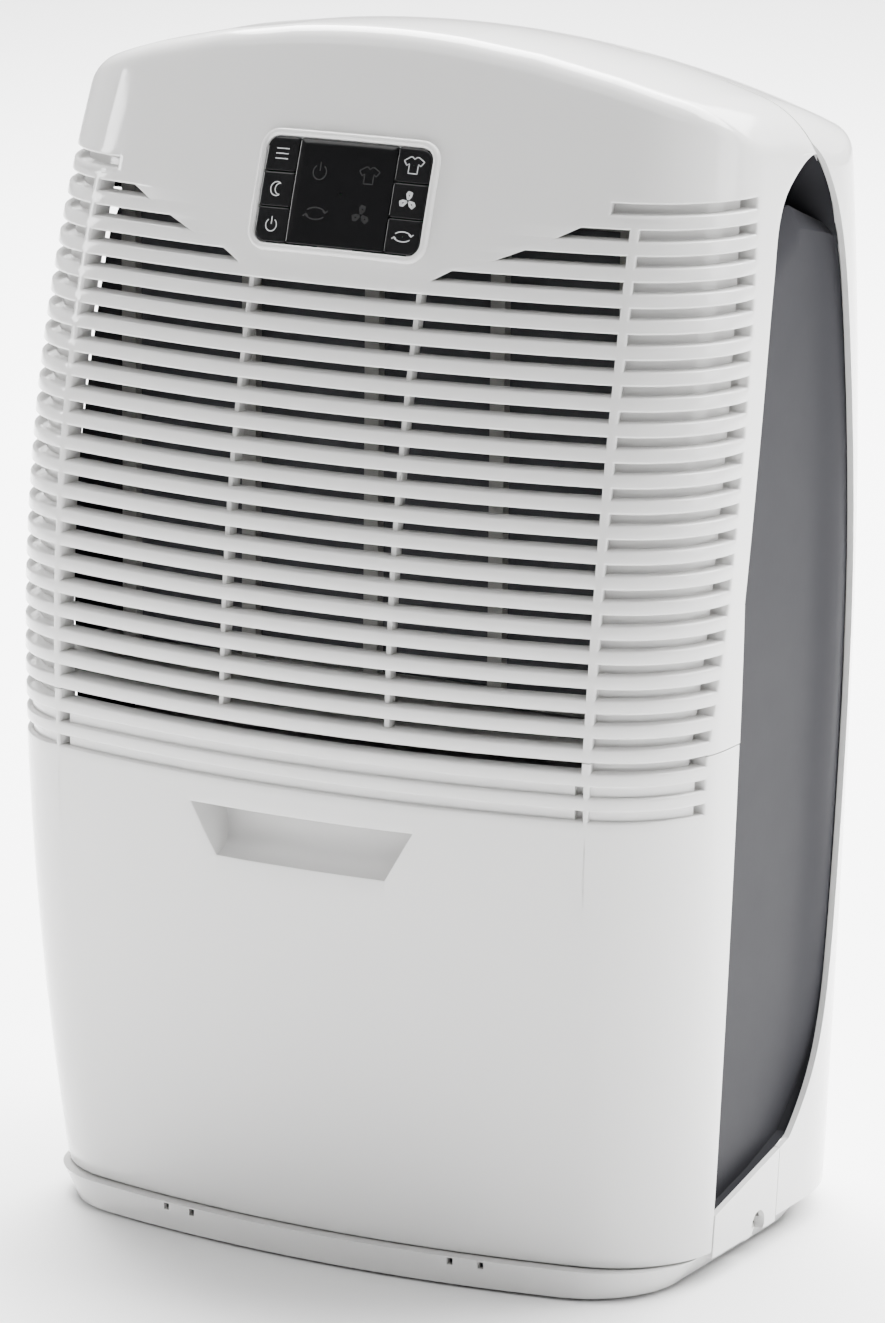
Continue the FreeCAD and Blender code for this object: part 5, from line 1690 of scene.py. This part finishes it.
@dataclass
class Panel:
    """Raised rim, smoked window, keys and their printed marks."""

    form: Form
    z: float = 467.0
    width: float = 87.0
    height: float = 52.5
    corner: float = 9.0
    rim: float = 3.2
    glass: float = 1.4
    key_w: float = 15.6
    gap: float = 0.5
    ink_width: float = 0.42
    skirt: float = 3.6
    tile_edge: float = 0.35
    ghosts: tuple[tuple[Mark, float, float], ...] = (
        (Mark.FAN, 11.0, -8.0), (Mark.LAUNDRY, 12.0, 9.0),
        (Mark.POWER, -12.0, 9.0), (Mark.CYCLE, -11.0, -9.0))
    rim_profile: tuple[Pair, ...] = (
        (0.0, -3.0), (0.0, 0.0), (0.0, 1.0), (0.25, 1.8), (0.8, 2.25), (1.4, 2.4), (2.0, 2.3), (2.6, 1.95),
        (3.0, 1.3), (3.2, 0.3), (3.2, -3.0))

    def lean(self) -> float:
        """Angle of the face from upright."""
        return math.atan((self.form.face_y(self.z + 1) - self.form.face_y(self.z - 1)) / 2)

    def point(self, x: float, y: float, lift: float) -> Vector:
        """A point over the face.

        Args:
            x: across the panel.
            y: up the panel.
            lift: how far the point stands out from the body's face.

        Returns:
            The point.
        """
        lean = self.lean()
        up = Vector((0.0, math.sin(lean), math.cos(lean)))
        out = Vector((0.0, -math.cos(lean), math.sin(lean)))
        base = Vector((x, self.form.face_y(self.z), self.z)) + up * y
        shift = 0.0
        for _ in range(6):
            p = base + out * shift
            wanted = self.form.skin(self.form.length_at_x(abs(x), p.z), p.z, -lift)
            shift += (p.y - wanted.y) * math.cos(lean)
        return base + out * shift

    def outline(self, half_w: float, half_h: float, radius: float, steps: int = 8,
                side: int = 10) -> list[Pair]:
        """Points round a rounded rectangle.

        Args:
            half_w: half its width.
            half_h: half its height.
            radius: its corners' radius.
            steps: segments round a corner.
            side: segments along a side.

        Returns:
            The points in order.
        """
        made = []
        for cx, cy, turn in CORNERS:
            for i in range(steps + 1):
                a = math.radians(turn + 90 * i / steps)
                made.append((cx * (half_w - radius) + radius * math.cos(a),
                             cy * (half_h - radius) + radius * math.sin(a)))
            x0, y0 = made[-1]
            x1, y1 = {0: (-(half_w - radius), half_h), 90: (-half_w, -(half_h - radius)),
                      180: (half_w - radius, -half_h), 270: (half_w, half_h - radius)}[turn]
            for i in range(1, side):
                made.append((x0 + (x1 - x0) * i / side, y0 + (y1 - y0) * i / side))
        return made

    def bezel(self) -> Shape:
        """The rounded rim.

        Returns:
            The mesh.
        """
        rings = []
        for inward, lift in self.rim_profile:
            edge = self.outline(self.width / 2 - inward, self.height / 2 - inward, self.corner - inward)
            rings.append([self.point(x, y, lift) for x, y in edge])
        shape = Shape()
        shape.sheet(rings, closed=True)
        return shape

    def tile(self, cx: float, cy: float, lift: float, outline_of: Callable[[float], list[Pair]]) -> Shape:
        """A crowned tile with rounded edges that follows the face.

        Args:
            cx: its middle across.
            cy: its middle up.
            lift: how far over the body's face.
            outline_of: its outline, moved in by a distance.

        Returns:
            The mesh.
        """
        rings = []
        edge = self.tile_edge
        for inward, drop in ((0.0, self.skirt), (0.0, edge), (edge * 0.3, edge * 0.3), (edge, 0.0)):
            rings.append([self.point(cx + x, cy + y, lift - drop) for x, y in outline_of(inward)])
        for share in (0.8, 0.55, 0.3, 0.02):
            rings.append([self.point(cx + x * share, cy + y * share, lift) for x, y in outline_of(edge)])
        shape = Shape()
        shape.sheet(rings, closed=True)
        return shape

    def stroke(self, shape: Shape, path: Sequence[Pair], width: float, lift: float,
               closed: bool = False) -> None:
        """Lay a printed line over the face.

        Args:
            shape: receives the faces.
            path: the line's points.
            width: its width.
            lift: how far over the body's face.
            closed: whether it ends where it starts.
        """
        pts = [Vector(p) for p in path]
        if closed:
            pts.append(pts[0].copy())
        dense = [pts[0]]
        for a, b in zip(pts, pts[1:]):
            n = max(1, int((b - a).length / 0.8))
            dense += [a + (b - a) * (k / n) for k in range(1, n + 1)]
        left, right = [], []
        for i, p in enumerate(dense):
            before = dense[i - 1] if i else (dense[-2] if closed else p - (dense[1] - p))
            after = dense[i + 1] if i + 1 < len(dense) else (dense[1] if closed else p + (p - dense[i - 1]))
            d = (after - before).normalized()
            n = Vector((-d.y, d.x)) * width / 2
            left.append(self.point(p.x + n.x, p.y + n.y, lift))
            right.append(self.point(p.x - n.x, p.y - n.y, lift))
        shape.sheet([right, left])

    @staticmethod
    def ring(cx: float, cy: float, rx: float, ry: float, start: float, stop: float,
             count: int = 18) -> list[Pair]:
        """Points along an ellipse's arc, angles in degrees.

        Args:
            cx: its middle across.
            cy: its middle up.
            rx: radius across.
            ry: radius up.
            start: first angle, in degrees.
            stop: last angle, in degrees.
            count: segments.

        Returns:
            The points in order.
        """
        made = []
        for i in range(count + 1):
            a = math.radians(start + (stop - start) * i / count)
            made.append((cx + rx * math.cos(a), cy + ry * math.sin(a)))
        return made

    def strokes(self, kind: Mark) -> list[tuple[list[Pair], bool]]:
        """A mark's lines at unit size, each with whether it is closed.

        Args:
            kind: which mark.

        Returns:
            Pairs of (points, closed).
        """
        ring = self.ring
        if kind is Mark.MENU:
            return [([(-1.1, y), (1.1, y)], False) for y in (-0.75, 0.0, 0.75)]
        if kind is Mark.BOOST:
            outer = ring(0, 0, 1.0, 1.0, 60, 300)
            inner = ring(0.55, 0.0, 0.8, 0.8, 285, 75)
            return [(outer + inner[1:-1], True)]
        if kind is Mark.POWER:
            return [(ring(0, -0.1, 0.9, 0.9, 125, 415), False), ([(0, 0.05), (0, 1.1)], False)]
        if kind is Mark.LAUNDRY:
            right = [(0.6, -1.0), (0.6, 0.15), (0.95, -0.05), (1.35, 0.5), (0.55, 1.0), (0.3, 1.0)]
            left = [(-x, y) for x, y in reversed(right)]
            return [([(-0.6, -1.0)] + right + [(0.0, 0.75)] + left[:-1], True)]
        if kind is Mark.CYCLE:
            tip = [(0.95, 0.35), (1.3, 0.1), (1.65, 0.42)]
            return [(ring(0, 0, 1.35, 0.7, 150, 15), False), (ring(0, 0, 1.35, 0.7, -30, -165), False),
                    (tip, False), ([(-x, -y) for x, y in tip], False)]
        made = []
        for k in range(3):
            a = math.radians(90 + 120 * k)
            blade = [(r * math.cos(a + turn), r * math.sin(a + turn)) for r, turn in
                     ((0.22, -0.5), (0.7, -0.62), (1.15, -0.42), (1.2, 0.05), (0.9, 0.35), (0.22, 0.5))]
            mx, my = sum(x for x, _ in blade) / 6, sum(y for _, y in blade) / 6
            for share in (1.0, 0.72, 0.42):
                made.append(([(mx + (x * 0.995 - mx) * share, my + (y * 0.995 - my) * share)
                              for x, y in blade], True))
        return made

    def mark(self, kind: Mark, cx: float, cy: float, size: float, lift: float, shape: Shape,
             width: float) -> None:
        """Draw one key's mark.

        Args:
            kind: which mark.
            cx: its middle across.
            cy: its middle up.
            size: half its height.
            lift: how far over the face.
            shape: receives the lines.
            width: line width.
        """
        for path, closed in self.strokes(kind):
            self.stroke(shape, [(cx + x * size, cy + y * size) for x, y in path], width, lift, closed)

    def build(self) -> None:
        """Make the rim, the window, the keys and the marks."""
        self.bezel().piece("panel_rim", "root", Coat.WHITE, "white_gloss", ["control_bezel"])
        window_w = self.width - 2 * self.rim
        window_h = self.height - 2 * self.rim
        glass_w = window_w - 2 * (self.key_w + 2 * self.gap)
        glass = self.tile(0, 0, self.glass, lambda inward: self.outline(
            glass_w / 2 - inward, window_h / 2 - self.gap - inward, 1.0 - inward, 4, 6))
        glass.piece("display_glass", "root", Coat.SMOKED, "black_gloss", ["display_window"])
        ghosts = Shape()
        for kind, x, y in self.ghosts:
            self.mark(kind, x, y, 3.6, self.glass + 0.02, ghosts, 0.6)
        ghosts.piece("display_symbols", "root", Coat.GHOST, "black_gloss")
        key_h = (window_h - 4 * self.gap) / 3
        key_x = window_w / 2 - self.gap - self.key_w / 2
        columns = {-1: (Mark.POWER, Mark.BOOST, Mark.MENU), 1: (Mark.CYCLE, Mark.FAN, Mark.LAUNDRY)}
        for side, column in columns.items():
            for i, kind in enumerate(column):
                name, size = kind.value
                node = name + "_key"
                y = -window_h / 2 + self.gap + key_h / 2 + i * (key_h + self.gap)
                cap = self.tile(side * key_x, y, self.glass, lambda inward: self.key_outline(
                    self.key_w / 2 - inward, key_h / 2 - inward, side, i, inward))
                cap.piece(node + "_cap", node, Coat.KEY, "black_gloss", [node])
                marks = Shape()
                self.mark(kind, side * key_x, y, size, self.glass + 0.03, marks, self.ink_width)
                marks.piece(node + "_mark", node, Coat.INK, "black_gloss")

    def key_outline(self, half_w: float, half_h: float, side: int, place: int, inward: float) -> list[Pair]:
        """A key's outline, whose outer corner follows the rim's inner corner.

        Args:
            half_w: half its width.
            half_h: half its height.
            side: -1 for the left column, 1 for the right.
            place: the key's place in its column, from the foot.
            inward: how far it is moved in.

        Returns:
            The points in order.
        """
        big = self.corner - self.rim - self.gap - inward
        made = []
        for cx, cy, turn in CORNERS:
            outer = cx == side and ((place == 2 and cy == 1) or (place == 0 and cy == -1))
            r = big if outer else 0.7
            for i in range(7):
                a = math.radians(turn + 90 * i / 6)
                made.append((cx * (half_w - r) + r * math.cos(a), cy * (half_h - r) + r * math.sin(a)))
        return made


# ---- carried-over nodes --------------------------------------------------------------------
NODES_BY_COAT: dict[Coat, str] = {
    Coat.WHITE: "rear_cover outlet_grille front_cover tank_front control_bezel base_tray",
    Coat.RUBBER: "cable_gland rubber_feet compressor_grommets",
    Coat.STEEL: "cover_screws float_pin base_screws impeller_clip motor_shaft motor_bearings "
                "motor_bracket motor_screws compressor_studs",
    Coat.SMOKED: "display_window",
    Coat.KEY: "power_key boost_key menu_key cycle_key fan_key laundry_key",
    Coat.TANK: "tank_bucket",
    Coat.INSIDE: "tank_lid deck_plate bay_wall drip_tray fan_shroud fan_impeller filter_frame",
    Coat.WHITE_INNER: "tank_float electrics_tray electrics_cover",
    Coat.LAMINATION: "float_magnet motor_rotor motor_stator",
    Coat.BOARD: "display_board power_board humidity_sensor",
    Coat.GREY: "side_panel_left side_panel_right",
    Coat.ALUMINIUM: "evaporator_fins condenser_fins motor_housing run_capacitor",
    Coat.COPPER: "evaporator_tube condenser_tube discharge_pipe suction_pipe filter_drier liquid_line "
                 "capillary_tube",
    Coat.ENAMEL: "compressor terminal_cover suction_accumulator reed_switch",
    Coat.NET: "filter_mesh",
}
NODE_COATS = {node: coat for coat, nodes in NODES_BY_COAT.items() for node in nodes.split()}


EASED_EDGE = 0.4
EASED_ANGLE = 40.0


def dress_nodes(nodes: dict[str, bpy.types.Object]) -> None:
    """Give every CAD node its finish and soften its edges.

    Args:
        nodes: objects by node name.
    """
    for name, item in nodes.items():
        coat = NODE_COATS[name]
        material = coat.material()
        item.data.materials.clear()
        item.data.materials.append(material)
        soften = item.modifiers.new("eased_edges", "BEVEL")
        soften.width = EASED_EDGE * MM
        soften.segments = 2
        soften.limit_method = "ANGLE"
        soften.angle_limit = math.radians(EASED_ANGLE)
        soften.harden_normals = True
        LOG.info("%s: finish %s", name, coat.value.name)


# ---- studio --------------------------------------------------------------------------------
@dataclass(frozen=True)
class Lamp:
    """A soft rectangular lamp: where it hangs and what it faces in metres, its size and its watts."""

    name: str
    place: Place
    aim: Place
    size: Pair
    power: float

    def hang(self) -> None:
        """Add the lamp to the scene."""
        data = bpy.data.lights.new(self.name, "AREA")
        data.shape = "RECTANGLE"
        data.size, data.size_y = self.size
        data.energy = self.power
        item = bpy.data.objects.new(self.name, data)
        item.location = self.place
        item.rotation_mode = "QUATERNION"
        item.rotation_quaternion = (Vector(self.place) - Vector(self.aim)).to_track_quat("Z", "Y")
        bpy.context.scene.collection.objects.link(item)


LAMPS = (
    Lamp("left_softbox", (-2.3, -0.95, 0.95), (0.0, 0.0, 0.35), (0.5, 0.7), 26.0),
    Lamp("right_softbox", (2.6, 0.3, 1.0), (0.1, 0.0, 0.25), (0.9, 1.5), 24.0),
    Lamp("top_softbox", (0.0, 1.35, 2.8), (0.0, 0.3, 0.0), (5.0, 2.1), 900.0),
    Lamp("floor_light", (0.0, -1.3, 2.0), (0.0, -1.9, 0.0), (3.6, 0.9), 30.0),
    Lamp("far_floor_light", (-0.6, 4.2, 3.4), (-0.9, 4.4, 0.0), (7.0, 3.6), 820.0),
)


@dataclass
class Studio:
    """Pale floor, soft lights and the camera."""

    azimuth: float = 29.302
    elevation: float = 13.174
    roll: float = 0.465
    distance: float = 2681.7
    shift_right: float = 21.6
    shift_up: float = -44.84
    aim: Place = (0.0, -48.0, 302.5)
    lens: float = 168.5
    sensor: float = 36.0
    near: float = 0.1
    far: float = 60.0
    sky: float = 0.10
    floor_reach: float = 16000.0
    floor_cells: int = 32

    def camera(self) -> None:
        """Make the camera."""
        az, el, roll = (math.radians(a) for a in (self.azimuth, self.elevation, self.roll))
        back = Vector((math.sin(az) * math.cos(el), -math.cos(az) * math.cos(el), math.sin(el)))
        right = Vector((math.cos(az), math.sin(az), 0.0))
        up = back.cross(right)
        right_r = right * math.cos(roll) + up * math.sin(roll)
        up_r = up * math.cos(roll) - right * math.sin(roll)
        data = bpy.data.cameras.new("studio_camera")
        data.lens = self.lens
        data.sensor_width = self.sensor
        data.clip_start = self.near
        data.clip_end = self.far
        item = bpy.data.objects.new("studio_camera", data)
        turn = Matrix((right_r, up_r, back)).transposed().to_4x4()
        place = Vector(self.aim) + back * self.distance + right_r * self.shift_right + up_r * self.shift_up
        item.matrix_world = Matrix.Translation(place * MM) @ turn
        bpy.context.scene.collection.objects.link(item)
        bpy.context.scene.camera = item

    def floor(self) -> None:
        """Lay the floor."""
        steps = [self.floor_reach * (2 * i / self.floor_cells - 1) for i in range(self.floor_cells + 1)]
        shape = Shape()
        shape.sheet([[Vector((x, y, 0.0)) for x in steps] for y in steps])
        mesh = bpy.data.meshes.new("studio_floor")
        mesh.from_pydata([tuple(p * MM) for p in shape.points], [], shape.faces)
        mesh.materials.append(Coat.FLOOR.material())
        floor = bpy.data.objects.new("studio_floor", mesh)
        bpy.context.scene.collection.objects.link(floor)
        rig.stage(floor)

    def build(self) -> None:
        """Floor, world, lamps and camera."""
        self.floor()
        world = bpy.data.worlds.new("studio_world")
        world.use_nodes = True
        background = world.node_tree.nodes["Background"].inputs
        background["Color"].default_value = (1.0, 1.0, 1.0, 1.0)
        background["Strength"].default_value = self.sky
        bpy.context.scene.world = world
        for lamp in LAMPS:
            lamp.hang()
        self.camera()


def plain(pair: tuple[Vector, Vector]) -> list[list[float]]:
    """A box as plain lists of numbers."""
    return [[float(v) for v in corner] for corner in pair]


def main() -> None:
    """Build the pieces in order and report each."""
    logging.basicConfig(level=logging.INFO, format="%(message)s")
    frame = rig.load()
    cad_box = plain(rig.bounds())
    Studio().build()
    form = Form()
    gap = SideOpening()
    louvres = Louvres()
    dress_nodes(frame["nodes"])
    front = FrontShell(form, gap, louvres).build()
    front.piece("front_skin", "root", Coat.WHITE, "white_gloss", ["front_cover"])
    tank = TankSkin(form, gap, louvres).build()
    tank.piece("tank_skin", "tank", Coat.WHITE, "white_gloss", ["tank_front"])
    panel = SidePanel(form, gap).build()
    panel.piece("side_skin_right", "root", Coat.GREY, "grey_satin", ["side_panel_right"], SIDE_CREASE)
    panel.flipped().piece("side_skin_left", "root", Coat.GREY, "grey_satin", ["side_panel_left"], SIDE_CREASE)
    Panel(form).build()
    with open("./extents.json", "w") as handle:
        json.dump({"cad": cad_box, "visual": plain(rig.bounds())}, handle)


if __name__ == "__main__":
    main()
